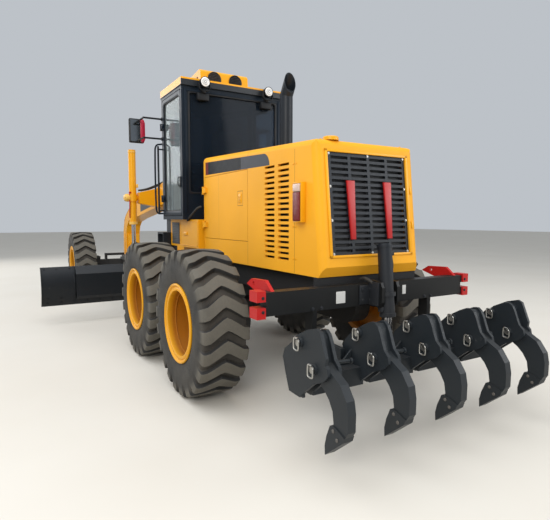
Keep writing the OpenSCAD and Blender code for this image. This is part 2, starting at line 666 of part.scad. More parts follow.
// Front axle
plate_t = 34;
king_low = king_z0 - run_gap - plate_t;
king_high = king_z1 + run_gap;
steer_x = 200;
steer_y = 50;
steer_z = king_low - 45;
module front_axle() color(charcoal) place() difference() {
    union() {
        box(axle_x - 75, axle_x + 75, -king_y + 40, king_y - 40, wheel_z - 75, wheel_z + 55);
        box(axle_x - 120, axle_x + 120, -240, 240, wheel_z - 95, leg_low);
        both_sides() z_cyl(axle_x, king_y, king_z0, king_z1, 80);
        both_sides() box(axle_x - 60, axle_x + 60, 560, 600, wheel_z + 50, wheel_z + 190);
        y_cyl(axle_x, -600, 600, wheel_z + 165, 28);
        box(axle_x + 110, axle_x + steer_x + 45, steer_y - 45, steer_y + 45, king_low, king_low + 60);
    }
    both_sides() z_cyl(axle_x, king_y, king_z0 - 1, king_z1 + 1, king_r + fit);
    box(axle_x - 175, axle_x + 175, -goose_half - 30, goose_half + 30, leg_low, leg_low + 200);
}
tie_pin_r = 18;
module knuckle() {
    z_cyl(axle_x, king_y, king_low, king_high + plate_t, king_r);
    for (z = [king_low, king_high]) {
        z_cyl(axle_x, king_y, z, z + plate_t, 82);
        box(axle_x - 75, axle_x + 75, king_y, king_y + 125, z, z + plate_t);
    }
    box(axle_x - 75, axle_x + 75, king_y + 95, king_y + 125, king_low, king_high + plate_t);
    box(axle_x - arm_len, axle_x + steer_x, king_y - 36, king_y + 36, king_low, king_low + plate_t);
    for (x = [-arm_len, steer_x]) z_cyl(axle_x + x, king_y, king_low, king_low + plate_t, 36);
    z_cyl(axle_x - arm_len, king_y, king_low - 50, king_low + 1, tie_pin_r);
    y_cyl(axle_x, king_y + 120, track_half + rim_disc_y + 60, wheel_z, spindle_r);
}
module knuckle_left() color(charcoal) place() knuckle();
module knuckle_right() color(charcoal) place() right_hand() knuckle();
module tie_rod() color(charcoal) place() difference() {
    union() {
        both_sides() z_cyl(axle_x - arm_len, king_y, king_low - 48, king_low - 8, 34);
        y_cyl(axle_x - arm_len, -king_y + 20, king_y - 20, king_low - 28, 18);
    }
    both_sides() z_cyl(axle_x - arm_len, king_y, king_low - 60, king_low, tie_pin_r + fit);
}
module steering_barrel() color(charcoal) place() {
    translate([axle_x + steer_x, steer_y, steer_z]) rotate([0, 0, 90]) tube_barrel(0, 480, 36, 18);
    z_cyl(axle_x + steer_x, steer_y, king_low - 80, king_low, 38);
}
module steering_rod() color(steel) place() {
    y_cyl(axle_x + steer_x, king_y - 550, king_y - 20, steer_z, 18);
    z_cyl(axle_x + steer_x, king_y, king_low - 70, king_low - fit, 34);
}

// Articulation cylinders
swing_rear = [swing_x0, swing_y0, swing_z];
swing_front = [swing_x1, swing_y1, swing_z];
module swing_barrel() difference() {
    union() {
        aim(swing_rear, swing_front) tube_barrel(0, 640, 46, 26);
        z_cyl(swing_x0, swing_y0, swing_z - 46.7, swing_z + 46.7, 46);
    }
    z_cyl(swing_x0, swing_y0, swing_z - 60, swing_z + 60, swing_pin_r + fit);
}
module swing_rod() {
    aim(swing_front, swing_rear) x_cyl(30, 755, 0, 0, 26);
    z_cyl(swing_x1, swing_y1, swing_z - 40, swing_z + 41 - fit, 44);
}
module swing_barrel_left() color(charcoal) place() swing_barrel();
module swing_barrel_right() color(charcoal) place() right_hand() swing_barrel();
module swing_rod_left() color(steel) place() swing_rod();
module swing_rod_right() color(steel) place() right_hand() swing_rod();

// Drawbar, circle and blade
module drawbar() color(charcoal) place() difference() {
    union() {
        sheet_z([[nose_x - 60, -60], [circle_x + 950, -340], [circle_x + 650, -565],
            [circle_x - 570, -565], [circle_x - 650, -430], [circle_x - 650, 430],
            [circle_x - 570, 565], [circle_x + 650, 565], [circle_x + 950, 340], [nose_x - 60, 60]],
            draw_z0, draw_z1);
        translate([nose_x, 0, nose_z]) sphere(r = nose_r);
        both_sides() {
            sheet_y([[saddle_x - 90, draw_z1 - 5], [saddle_x + 90, draw_z1 - 5],
                [saddle_x + 50, lift_eye_z + 45], [saddle_x - 50, lift_eye_z + 45]],
                lift_eye_y - lift_eye_half - 28, lift_eye_y - lift_eye_half - fit);
            box(circle_x - 170, circle_x - 70, 430, 555, draw_z1 - 1, draw_z1 + 130);
        }
        for (a = [45, 135, 225, 315]) translate([circle_x, 0, 0]) rotate([0, 0, a])
            box(720, 790, -70, 70, circle_z1 + fit, draw_z0 + 5);
        z_cyl(circle_x - 330, 0, draw_z1 - 1, draw_z1 + 190, 120);
    }
    sheet_z([[nose_x - 540, 0], [circle_x + 1050, -150], [circle_x + 1050, 150]], draw_z0 - 1, draw_z1 + 1);
    z_cyl(circle_x + 180, 0, draw_z0 - 1, draw_z1 + 1, 290);
}
arm_y0 = 480;
arm_y1 = 525;
tip_x = circle_x - 570;
tip_z = 420;
module circle_part() {
    difference() {
        z_cyl(circle_x, 0, circle_z0, circle_z1, circle_r);
        z_cyl(circle_x, 0, circle_z0 - 1, circle_z1 + 1, circle_in);
    }
    both_sides() difference() {
        sheet_y([[tip_x - 90, circle_z0 + 5], [tip_x + 60, circle_z0 + 5], [tip_x + 8, 800],
            [tip_x + 8, 700], [tip_x + 45, 600], [tip_x + 55, 400], [tip_x + 20, 365],
            [tip_x - 30, 365], [tip_x - 65, 400], [tip_x - 80, 700]], arm_y0, arm_y1);
        y_cyl(tip_x, arm_y0 - 1, arm_y1 + 1, tip_z, 30 + fit);
    }
}
module circle_ring() color(charcoal) place() circle_part();
rail_zs = [440, 740];
carrier_face = tip_x + 90;
rail_gap = 0.3;
module blade_carrier() color(charcoal) place() {
    sheet_y([[tip_x - 35, tip_z - 35], [tip_x + 60, tip_z - 35], [carrier_face, tip_z],
        [carrier_face, tip_z + 370], [tip_x + 60, tip_z + 390], [tip_x + 25, tip_z + 380],
        [tip_x + 25, tip_z + 50], [tip_x - 35, tip_z + 40]], -arm_y0 + 8, arm_y0 - 8);
    y_cyl(tip_x, -arm_y1, arm_y1, tip_z, 30);
}
module blade_arc(r0, r1, y, z0, z1) intersection() {
    difference() {
        y_cyl(blade_cx, -y, y, blade_cz, r1);
        y_cyl(blade_cx, -y - 1, y + 1, blade_cz, r0);
    }
    box(blade_cx - r1 - 10, blade_cx - 100, -y, y, z0, z1);
}
module blade() color(charcoal) place() {
    blade_arc(blade_r, blade_r + blade_t, blade_half, blade_ground, blade_ground + blade_height);
    blade_arc(blade_r - 16, blade_r + 2, blade_half, blade_ground, blade_ground + 150);
    blade_arc(blade_r + blade_t - 2, blade_r + 42, 1640, blade_ground + 90, blade_ground + blade_height - 5);
    for (z = rail_zs) box(carrier_face + rail_gap, 3080, -1640, 1640, z - 25, z + 25);
}

// Lift cylinders
lift_r = 62;
lift_rod_r = 34;
module lift_barrel() {
    translate([saddle_x, saddle_y, saddle_z]) rotate([0, 90, 0]) tube_barrel(830, 460, lift_r, lift_rod_r);
    difference() {
        z_cyl(saddle_x, saddle_y, saddle_z - 60, saddle_z + 60, 80);
        z_cyl(saddle_x, saddle_y, saddle_z - 61, saddle_z + 61, lift_r - 5);
    }
    y_cyl(saddle_x, saddle_y - 145, saddle_y - 70, saddle_z, 36);
}
module lift_rod() {
    z_cyl(saddle_x, saddle_y, lift_eye_z + 20, saddle_z + 560, lift_rod_r);
    y_cyl(saddle_x, lift_eye_y - lift_eye_half, lift_eye_y + lift_eye_half, lift_eye_z, 48);
}
module lift_barrel_left() color(yellow) place() lift_barrel();
module lift_barrel_right() color(yellow) place() right_hand() lift_barrel();
module lift_rod_left() color(steel) place() lift_rod();
module lift_rod_right() color(steel) place() right_hand() lift_rod();

module tyre_rear_left() tyre(-tandem_half, 1);
module rim_rear_left() rim(-tandem_half, 1);
module tyre_rear_right() tyre(-tandem_half, -1);
module rim_rear_right() rim(-tandem_half, -1);
module tyre_mid_left() tyre(tandem_half, 1);
module rim_mid_left() rim(tandem_half, 1);
module tyre_mid_right() tyre(tandem_half, -1);
module rim_mid_right() rim(tandem_half, -1);
module tyre_front_left() tyre(wheelbase, 1);
module rim_front_left() rim(wheelbase, 1);
module tyre_front_right() tyre(wheelbase, -1);
module rim_front_right() rim(wheelbase, -1);

rear_frame();
tandem_axle();
engine();
hood();
hood_door_left();
hood_door_right();
hood_grille();
lamps();
exhaust();
cab_base();
cab_frame();
cab_roof();
cab_glass();
cab_door_left();
cab_door_right();
seat();
console();
steps();
mirrors();
ripper_mount();
ripper_frame();
ripper_shanks();
ripper_tips();
ripper_barrel();
ripper_rod();
front_frame();
front_axle();
knuckle_left();
knuckle_right();
tie_rod();
steering_barrel();
steering_rod();
swing_barrel_left();
swing_rod_left();
swing_barrel_right();
swing_rod_right();
drawbar();
circle_ring();  // circle
blade_carrier();
blade();
lift_barrel_left();
lift_rod_left();
lift_barrel_right();
lift_rod_right();
tyre_rear_left();
rim_rear_left();
tyre_rear_right();
rim_rear_right();
tyre_mid_left();
rim_mid_left();
tyre_mid_right();
rim_mid_right();
tyre_front_left();
rim_front_left();
tyre_front_right();
rim_front_right();
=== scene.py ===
"""Motor grader with a rear ripper: the looks of the CAD frame. Shapes are given in the millimetres
of part.scad, with X counted from the tandem centre, and placed in the row frame by place()."""
import itertools
import math
import bpy
import bmesh
from mathutils import Matrix, Vector


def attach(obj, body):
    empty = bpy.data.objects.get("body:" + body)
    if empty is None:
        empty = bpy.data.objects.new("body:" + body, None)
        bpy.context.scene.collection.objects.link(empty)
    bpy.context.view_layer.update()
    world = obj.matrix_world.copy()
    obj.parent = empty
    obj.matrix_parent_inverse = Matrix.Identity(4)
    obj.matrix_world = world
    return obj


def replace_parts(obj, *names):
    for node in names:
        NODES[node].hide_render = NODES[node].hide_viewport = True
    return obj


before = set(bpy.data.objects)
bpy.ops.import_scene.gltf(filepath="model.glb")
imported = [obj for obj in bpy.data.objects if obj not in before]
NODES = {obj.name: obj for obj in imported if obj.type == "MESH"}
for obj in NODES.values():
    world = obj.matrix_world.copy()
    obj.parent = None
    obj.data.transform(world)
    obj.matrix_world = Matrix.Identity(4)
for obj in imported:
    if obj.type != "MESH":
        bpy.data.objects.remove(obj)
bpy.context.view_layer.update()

MM = 0.001
FRAME_SHIFT = -2016.5          # tandem centre to the middle of the grader, as frame_shift in part.scad
WHEEL_Z = 674.0
TRACK_HALF = 1088.0
AXLES = {"rear": -769.0, "mid": 769.0, "front": 6219.0}
HOOD_HALF = 530.0
HOOD_LOW = (-1950.0, 1245.0)   # lower edge of the hood's rear face: x, z
HOOD_LEAN = math.atan2(110.0, 1005.0)
BEAM_HALF = 1115.0
SHANK_YS = [487.0 * k for k in (-2, -1, 0, 1, 2)]
SHANK_HALF = 30.0
LAMP_Y, LAMP_Z = 440.0, 3270.0         # middle of a work lamp
BAND_REAR, BAND_FRONT = -1140.0, 372.0  # ends of the dark band on the hood


def place(x, y, z):
    """Millimetres of part.scad to the row frame in metres."""
    return Vector(((x + FRAME_SHIFT) * MM, y * MM, z * MM))


# ---- shader maths
class Num:
    """A number in a node tree, which takes part in sums; SUMS below lists them."""

    def __init__(self, look, sock):
        self.look = look
        self.sock = sock

    def __rsub__(self, o):
        return self.look.math("SUBTRACT", o, self)

    def clamp(self):
        n = self + 0.0
        n.sock.node.use_clamp = True
        return n

    def over(self, edge, soft):
        """0 below edge, 1 above, with a ramp soft wide in the middle."""
        return ((self - edge) * (1.0 / soft) + 0.5).clamp()

    def under(self, edge, soft):
        return 1.0 - self.over(edge, soft)

    def within(self, lo, hi, soft):
        return self.over(lo, soft) * self.under(hi, soft)


def sum_of(kind):
    return lambda self, *others: self.look.math(kind, self, *others)


SUMS = {"__add__": "ADD", "__radd__": "ADD", "__sub__": "SUBTRACT", "__mul__": "MULTIPLY", "__rmul__": "MULTIPLY",
        "abs": "ABSOLUTE", "at_most": "MINIMUM", "at_least": "MAXIMUM"}
for way, kind in SUMS.items():
    setattr(Num, way, sum_of(kind))


class Look:
    """One node material."""

    def __init__(self, name):
        self.mat = bpy.data.materials.new(name)
        self.mat.use_nodes = True
        self.tree = self.mat.node_tree
        self.bsdf = self.tree.nodes["Principled BSDF"]

    def node(self, kind, out=0, **given):
        """A node with its inputs and properties set by name; gives its output socket."""
        n = self.tree.nodes.new("ShaderNode" + kind)
        for key, val in given.items():
            name = key.replace("_", " ")
            if name in n.inputs:
                self.feed(n.inputs[name], val)
            else:
                setattr(n, key, val)
        return n.outputs[out]

    def feed(self, sock, val):
        if isinstance(val, Num):
            val = val.sock
        if isinstance(val, bpy.types.NodeSocket):
            self.tree.links.new(val, sock)
        elif isinstance(val, (tuple, list)) and len(val) == 3 and sock.type == "RGBA":
            sock.default_value = (*val, 1.0)
        else:
            sock.default_value = val

    def math(self, kind, *vals):
        n = self.tree.nodes.new("ShaderNodeMath")
        n.operation = kind
        for sock, val in zip(n.inputs, vals):
            self.feed(sock, val)
        return Num(self, n.outputs[0])

    def xyz(self):
        """Object coordinates as part.scad's millimetres."""
        split = self.tree.nodes.new("ShaderNodeSeparateXYZ")
        self.feed(split.inputs[0], self.node("TexCoord", out="Object"))
        x, y, z = (Num(self, s) for s in split.outputs)
        return x * 1000.0 - FRAME_SHIFT, y * 1000.0, z * 1000.0

    def noise(self, scale, detail=3.0, rough=0.55, stretch=None):
        where = self.node("TexCoord", out="Object")
        if stretch:
            where = self.node("Mapping", Vector=where, Scale=stretch)
        return Num(self, self.node("TexNoise", out=0, Vector=where, Scale=scale, Detail=detail, Roughness=rough))

    def mix(self, a, b, fac):
        n = self.tree.nodes.new("ShaderNodeMix")
        n.data_type = "RGBA"
        for sock, val in ((n.inputs[0], fac), (n.inputs[6], a), (n.inputs[7], b)):
            self.feed(sock, val)
        return n.outputs[2]

    def bump(self, height, strength, distance=0.002):
        self.feed(self.bsdf.inputs["Normal"], self.node("Bump", Height=height, Strength=strength, Distance=distance))

    def done(self, colour, rough, **rest):
        self.feed(self.bsdf.inputs["Base Color"], colour)
        self.feed(self.bsdf.inputs["Roughness"], rough)
        for key, val in rest.items():
            self.feed(self.bsdf.inputs[key.replace("_", " ")], val)
        return self.mat


YELLOW = (0.83, 0.37, 0.006)
CHARCOAL = (0.016, 0.019, 0.023)
RED = (0.42, 0.012, 0.012)
DUST = (0.36, 0.29, 0.20)


def painted(name, base, rough=0.34, coat=0.25, dust=0.35, marks=(), chips=None, peel=0.05, shine=0.5):
    """Sprayed paint: slow change of tone, orange peel, dust low down and on tops, chips, marked areas."""
    look = Look(name)
    x, y, z = look.xyz()
    slow = look.noise(1.3, 2.0)
    fine = look.noise(26.0, 4.0)
    tone = look.mix(base, tuple(c * 0.80 for c in base), slow.over(0.5, 0.5) * 0.7)
    for where, colour in marks:
        tone = look.mix(tone, colour, where(look, x, y, z))
    if chips:
        spots = look.noise(9.0, 6.0, 0.7).over(0.69, 0.02)
        tone = look.mix(tone, chips, spots * 0.8)
    up = Num(look, look.node("SeparateXYZ", out=2, Vector=look.node("NewGeometry", out="Normal")))
    settled = up.over(0.75, 0.5) * 0.45 + z.under(900.0, 1500.0) * 0.35
    film = (settled * dust * (fine * 0.9 + slow * 0.9)).clamp()
    tone = look.mix(tone, DUST, film)
    look.bump(look.noise(180.0, 2.0) * 0.6 + fine * 0.8, peel, 0.0015)
    return look.done(tone, (fine * 0.16 + film * 0.5 + (rough - 0.06)).clamp(), Coat_Weight=coat,
                     Coat_Roughness=0.12, Specular_IOR_Level=shine)


def on_hood_side(y):
    """1 on the outer faces of the hood's sides."""
    return y.abs().over(HOOD_HALF - 1.5, 0.8)


def label_band(look, x, y, z):
    """The dark band along the top of the hood side, with its top rear corner rounded, on both sides."""
    corner = 110.0
    under_top = 2283.0 + (x - 345.0) * 0.044 - z
    above_low = (z - (x - 345.0) * 0.0202).over(2138.0, 2.0)
    flat = under_top.over(0.0, 2.0) * above_low * x.within(BAND_REAR, BAND_FRONT, 2.0)
    dx = (x - (BAND_REAR + corner)).at_most(0.0)
    dz = (corner - under_top).at_least(0.0)
    return flat * look.math("SQRT", dx * dx + dz * dz).under(corner, 2.0) * on_hood_side(y)


def label_strip(look, x, y, z):
    """The red strip at the front end of the band."""
    return label_band(look, x, y, z) * x.over(290.0, 2.0)


def label_shine(look, x, y, z):
    """Painted sheen: the rear part of the band is painted grey, standing in for light reflected from it."""
    return label_band(look, x, y, z) * x.under(-560.0, 2.0)


def hood_seams(look, x, y, z):
    """Thin dark lines where the hood's sheets meet."""
    roof = z.over(2240.0, 4.0) * (x + 715.0).abs().under(2.5, 1.0)
    side = (x + 705.0).abs().under(2.0, 1.0) * z.within(1170.0, 2120.0, 2.0) + \
        (x + 1560.0).abs().under(2.0, 1.0) * z.within(1170.0, 2200.0, 2.0) + \
        x.abs().under(1.6, 1.0) * z.within(1405.0, 2110.0, 2.0) * 0.6
    return (roof + side * on_hood_side(y)).clamp() * 0.8


def latch_lines(look, x, y, z):
    """The outlined square of the service door's latch."""
    dx, dz = (x + 539.0).abs(), (z - 1834.0).abs()
    far = dx.at_least(dz * 0.8)
    return far.within(56.0, 61.0, 1.0) * on_hood_side(y) * 0.75


def rubber(name, dusty=0.4, lug=False):
    """Tyre and hose rubber. On a tyre the piece's UV holds the lug height and the radius."""
    look = Look(name)
    fine = look.noise(60.0, 5.0)
    slow = look.noise(5.0, 3.0)
    tone = look.mix((0.015, 0.015, 0.015), (0.032, 0.031, 0.030), slow)
    if lug:
        split = look.tree.nodes.new("ShaderNodeSeparateXYZ")
        look.feed(split.inputs[0], look.node("TexCoord", out="UV"))
        height, radius = Num(look, split.outputs[0]), Num(look, split.outputs[1])
        worn = height.over(0.94, 0.06) * radius.over(0.60, 0.05)
        scuffed = (worn * (0.62 + slow * 0.5) * (0.75 + fine * 0.5)).clamp()
        tone = look.mix(tone, (0.118, 0.108, 0.088), scuffed)
        floor = height.under(0.3, 0.3) * radius.over(0.58, 0.05) * 0.12
        tone = look.mix(tone, DUST, (floor * slow).clamp())
        wall = radius.under(0.62, 0.05) * (slow * 0.9 + fine * 0.3 - 0.35)
        tone = look.mix(tone, (0.12, 0.108, 0.088), (wall * dusty * 2.0).clamp())
        rings = look.math("SINE", radius * 900.0).over(0.86, 0.2) * radius.within(0.40, 0.53, 0.01)
        look.bump(fine * 0.5 + rings * 0.6 + look.noise(18.0, 3.0) * 0.4, 0.5, 0.003)
    else:
        tone = look.mix(tone, DUST, (slow * fine * dusty * 0.5).clamp())
        look.bump(fine, 0.15, 0.001)
    return look.done(tone, (0.62 + fine * 0.3).clamp(), Specular_IOR_Level=0.35)


def bright_steel(name, base=(0.62, 0.62, 0.64), rough=0.22, brushed=None):
    look = Look(name)
    fine = look.noise(40.0, 4.0, stretch=brushed)
    slow = look.noise(3.0, 2.0)
    tone = look.mix(base, tuple(c * 0.72 for c in base), slow)
    look.bump(fine, 0.06, 0.001)
    return look.done(tone, (fine * 0.18 + (rough - 0.05)).clamp(), Metallic=1.0)


def glazing(name, tint, ior, clear=0.92):
    look = Look(name)
    smear = look.noise(3.5, 4.0)
    look.bump(look.noise(1.2, 1.0), 0.02, 0.002)
    return look.done(look.mix(tint, tuple(c * 1.25 for c in tint), smear), (smear * 0.08 + 0.03).clamp(),
                     Transmission_Weight=clear, IOR=ior)


def lens(name, tint, coat=0.5):
    look = Look(name)
    x, y, z = look.xyz()
    ribs = look.math("SINE", z * 0.62) * 0.5 + look.math("SINE", x * 0.62) * 0.5
    look.bump(ribs, 0.35, 0.002)
    tone = look.mix(tint, tuple(c * 0.7 for c in tint), look.noise(20.0))
    return look.done(tone, (look.noise(30.0) * 0.1 + 0.08).clamp(), Coat_Weight=coat, Specular_IOR_Level=0.35)


def lamp_face():
    """The bowl of a work lamp behind its lens, with painted reflections: rings of pale and dark from its bulb outwards
    stand in for the light the bowl throws back.
    """
    look = Look("lamp_painted_reflections")
    x, y, z = look.xyz()
    far = lamp_rings(look, x, y, z)
    facets = look.math("SINE", look.math("ARCTAN2", z - LAMP_Z, y.abs() - LAMP_Y) * 12.0) * 0.5 + 0.5
    tone = look.mix((0.78, 0.78, 0.76), (0.40, 0.41, 0.41), (far.over(0.35, 0.2) * (facets * 0.8 + 0.2)).clamp())
    tone = look.mix(tone, (0.85, 0.85, 0.84), far.over(0.80, 0.1))
    tone = look.mix(tone, (0.20, 0.20, 0.21), far.within(0.16, 0.30, 0.05))
    look.bump(facets, 0.3, 0.002)
    return look.done(tone, (look.noise(40.0) * 0.1 + 0.12).clamp(), Coat_Weight=0.5)


def fabric(name, base):
    look = Look(name)
    x, y, z = look.xyz()
    weave = look.math("SINE", x * 1.9) * look.math("SINE", y * 1.9) + look.math("SINE", z * 1.9) * 0.6
    fine = look.noise(120.0, 4.0)
    tone = look.mix(base, tuple(c * 1.8 for c in base), (weave * 0.25 + fine * 0.6).clamp())
    look.bump(weave * 0.5 + fine, 0.3, 0.002)
    return look.done(tone, (fine * 0.2 + 0.75).clamp(), Sheen_Weight=0.25)


def plastic(name, base):
    look = Look(name)
    fine = look.noise(90.0, 5.0)
    slow = look.noise(2.5, 2.0)
    tone = look.mix(base, tuple(c * 1.5 + 0.004 for c in base), slow * 0.6)
    tone = look.mix(tone, DUST, (slow.over(0.62, 0.3) * fine * 0.16).clamp())
    look.bump(fine, 0.15, 0.001)
    return look.done(tone, (fine * 0.2 + 0.42).clamp(), Specular_IOR_Level=0.25)


def roof_edge(look, x, y, z):
    """The dark rear face of the roof and its underside."""
    return (x.under(674.0, 2.0) * z.under(3300.0, 3.0)).at_least(z.under(3236.0, 1.0))


def rim_dish(look, x, y, z):
    """Painted shade on the inside of a rim's dish, behind the lock ring: the dish is darkened where it lies in shade.
    """
    return y.abs().under(TRACK_HALF + 165.0, 50.0)


def frame_panel(look, x, y, z):
    """The bare dark panel on each side of the front frame."""
    low = z + (x - 4000.0) * 0.117
    return low.within(1868.0, 2070.0, 3.0) * x.within(3960.0, 4800.0, 3.0) * y.abs().over(148.0, 1.0)


def frame_strip(look, x, y, z):
    """The red strip at the rear end of that panel."""
    return frame_panel(look, x, y, z) * x.under(4040.0, 3.0)


def lamp_rings(look, x, y, z):
    """0 at a work lamp's middle, 1 at its rim."""
    across = y.abs() - LAMP_Y
    up = z - LAMP_Z
    return look.math("SQRT", across * across + up * up) * (1.0 / 55.0)


def beam_ends(look, x, y, z):
    return y.abs().over(BEAM_HALF - 62.0, 1.0) * z.within(880.0, 1130.0, 2.0)


def beam_ears(look, x, y, z):
    """The tie-down ears, where they stand out above and in front of the beam."""
    out = z.over(1101.0, 1.0).at_least(x.over(-1888.0, 1.0))
    return y.abs().within(BEAM_HALF - 152.0, BEAM_HALF - 118.0, 1.0) * out


M = {
    # hood: the grey rear part of the dark label band is painted sheen
    "hood": painted("hood_yellow", (0.85, 0.39, 0.020), rough=0.44, coat=0.0, dust=0.10, shine=0.12, marks=(
        (hood_seams, (0.05, 0.03, 0.01)), (latch_lines, (0.10, 0.05, 0.01)), (label_band, (0.006, 0.007, 0.009)),
        (label_shine, (0.052, 0.055, 0.064)), (label_strip, (0.13, 0.018, 0.02)))),
    "roof": painted("roof_yellow", YELLOW, coat=0.06, dust=0.12, shine=0.25, marks=((roof_edge, CHARCOAL),)),
    "yellow": painted("yellow_paint", YELLOW, coat=0.06, dust=0.14, shine=0.25),
    "front": painted("front_yellow", YELLOW, coat=0.06, dust=0.14, shine=0.25,
                     marks=((frame_panel, (0.020, 0.022, 0.026)), (frame_strip, (0.13, 0.018, 0.02)))),
    "saddle": painted("saddle_yellow", (0.84, 0.50, 0.10), coat=0.05, dust=0.2, shine=0.25),
    # rims: the darker tone inside the dish is painted shade
    "rim": painted("rim_yellow", (0.76, 0.35, 0.004), rough=0.42, coat=0.05, dust=0.10, shine=0.25,
                   marks=((rim_dish, (0.34, 0.115, 0.002)),)),
    "charcoal": painted("charcoal_paint", (0.011, 0.015, 0.021), rough=0.42, coat=0.02, dust=0.14,
                        chips=(0.06, 0.06, 0.06), shine=0.25),
    "ripper": painted("ripper_charcoal", (0.012, 0.017, 0.022), rough=0.44, coat=0.02, dust=0.06,
                      chips=(0.09, 0.09, 0.09), peel=0.12, shine=0.24),
    "beam": painted("beam_paint", (0.006, 0.007, 0.008), rough=0.4, coat=0.0, dust=0.05, shine=0.22,
                    marks=((beam_ends, RED), (beam_ears, RED))),
    "cab": painted("cab_charcoal", (0.006, 0.012, 0.021), rough=0.38, coat=0.0, dust=0.05, shine=0.16),
    "blade": painted("blade_black", (0.005, 0.008, 0.012), rough=0.36, coat=0.02, dust=0.06,
                     chips=(0.05, 0.05, 0.05), shine=0.22),
    "under": painted("underframe_black", (0.010, 0.012, 0.015), rough=0.55, coat=0.0, dust=0.18, peel=0.2,
                     shine=0.25),
    "red": painted("red_paint", RED, coat=0.08, dust=0.1, shine=0.3),
    "mirror_red": painted("mirror_red_paint", (0.50, 0.012, 0.045), dust=0.1),
    "iron": painted("cast_iron_grey", (0.05, 0.052, 0.056), rough=0.6, coat=0.0, dust=0.5, peel=0.35),
    "tyre": rubber("tyre_rubber", lug=True),
    "hose": rubber("hose_rubber", 0.3),
    "chrome": bright_steel("chrome_rod", rough=0.12, brushed=(0.2, 1.0, 6.0)),
    "zinc": bright_steel("zinc_plated", (0.50, 0.49, 0.46), 0.36),
    "glass": glazing("cab_window", (0.030, 0.046, 0.070), clear=0.80, ior=1.16),
    "pane": glazing("door_pane", (0.74, 0.82, 0.83), ior=1.10),
    "mirror": bright_steel("mirror_glass", (0.22, 0.24, 0.26), 0.07),
    "lamp_face": lamp_face(),
    "trim": plastic("black_plastic", (0.009, 0.010, 0.012)),
    "grey": plastic("grey_plastic", (0.06, 0.063, 0.068)),
    "seat": fabric("seat_fabric", (0.028, 0.030, 0.034)),
    "lens_red": lens("lens_red", (0.17, 0.008, 0.007), coat=0.1),
    "lens_pale": lens("lens_pale", (0.70, 0.50, 0.40)),
    "plate": painted("blank_plate", (0.62, 0.62, 0.60), rough=0.4, dust=0.4),
}
NODE_LOOKS = {node: look for look, nodes in (
    ("hood", "hood hood_door_left hood_door_right"),
    ("trim", "lamps mirrors"),
    ("yellow", "cab_base lift_barrel_left lift_barrel_right"),
    ("cab", "cab_frame cab_door_left cab_door_right"),
    ("roof", "cab_roof"),
    ("glass", "cab_glass"),
    ("seat", "seat"),
    ("grey", "console"),
    ("beam", "ripper_mount"),
    ("ripper", "ripper_frame ripper_shanks ripper_tips"),
    ("chrome", "ripper_rod steering_rod swing_rod_left swing_rod_right lift_rod_left lift_rod_right"),
    ("front", "front_frame"),
    ("under", "front_axle knuckle_left knuckle_right tie_rod steering_barrel "
           "drawbar circle blade_carrier rear_frame tandem_axle"),
    ("blade", "blade"),
    ("iron", "engine"),
) for node in nodes.split()}
for node, obj in NODES.items():
    key = NODE_LOOKS.get(node) or (node[:3] if node[:3] == "rim" else "tyre" if node[:4] == "tyre" else "charcoal")
    for s in obj.material_slots:
        s.material = M[key]
    if not obj.material_slots:
        obj.data.materials.append(M[key])


# ---- mesh helpers, all in part.scad's millimetres
UP, DOWN, LEFT, FRONT, BACK = (0, 0, 1), (0, 0, -1), (0, 1, 0), (1, 0, 0), (-1, 0, 0)
BOTH = (1, -1)
SIDES = (("left", 1), ("right", -1))


def turn_to(axis):
    """A rotation that lays local Z along axis."""
    return Vector(axis).to_track_quat("Z", "Y").to_matrix().to_4x4()


def absorb(bm, part):
    """Adds the part's mesh to bm and frees it."""
    tmp = bpy.data.meshes.new("tmp")
    part.to_mesh(tmp)
    part.free()
    bm.from_mesh(tmp)
    bpy.data.meshes.remove(tmp)


def span(s, a, b):
    """The stretch from a to b, mirrored on side -1."""
    return (a, b) if s > 0 else (-b, -a)


def piece(name, body, look, build, slot=None, sharp=32.0, sides=(1,)):
    """One object made by build(bm); sides BOTH adds its mirror image across the middle plane."""
    bm = bmesh.new()
    for s in sides:
        part = bmesh.new()
        build(part)
        if s < 0:
            bmesh.ops.scale(part, vec=(1, -1, 1), verts=part.verts)
            bmesh.ops.reverse_faces(part, faces=part.faces)
        absorb(bm, part)
    for v in bm.verts:
        v.co = place(*v.co)
    limit = math.radians(sharp)
    for f in bm.faces:
        f.smooth = True
    for e in bm.edges:
        if len(e.link_faces) == 2 and e.calc_face_angle(0.0) > limit:
            e.smooth = False
    mesh = bpy.data.meshes.new(name)
    bm.to_mesh(mesh)
    bm.free()
    mesh.materials.append(M[look])
    obj = bpy.data.objects.new(name, mesh)
    bpy.context.scene.collection.objects.link(obj)
    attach(obj, body)
    return obj


def shape(body, look, slot=None, pair=False, **given):
    """Makes a piece from the builder that follows, under the builder's name. A pair has one piece on
    each side, with the side in the piece's and the body's name."""
    def take(build):
        name = build.__name__
        if pair:
            for side_name, s in SIDES:
                piece(name + "_" + side_name, body + "_" + side_name, look, build, slot, sides=(s,), **given)
        else:
            piece(name, body, look, build, slot, **given)
        return build
    return take


def once(things):
    """The things in their order, each one time."""
    return list(dict.fromkeys(things))


def put(axis, p, a):
    """A point from an outline's pair p and its place a along axis."""
    return Vector({"x": (a, p[0], p[1]), "y": (p[0], a, p[1]), "z": (p[0], p[1], a)}[axis])


def skin(bm, rings, closed=False):
    """Quads from each ring of vertices to the next; closed joins the last to the first, else the ends are capped."""
    n = len(rings[0])
    for a, b in zip(rings, rings[1:] + rings[:1] if closed else rings[1:]):
        for k in range(n):
            bm.faces.new((a[k], a[(k + 1) % n], b[(k + 1) % n], b[k]))
    if not closed:
        bm.faces.new(rings[0][::-1])
        bm.faces.new(rings[-1])


def heading(path, i):
    """The direction of the path at its point i."""
    return (path[min(i + 1, len(path) - 1)] - path[max(i - 1, 0)]).normalized()


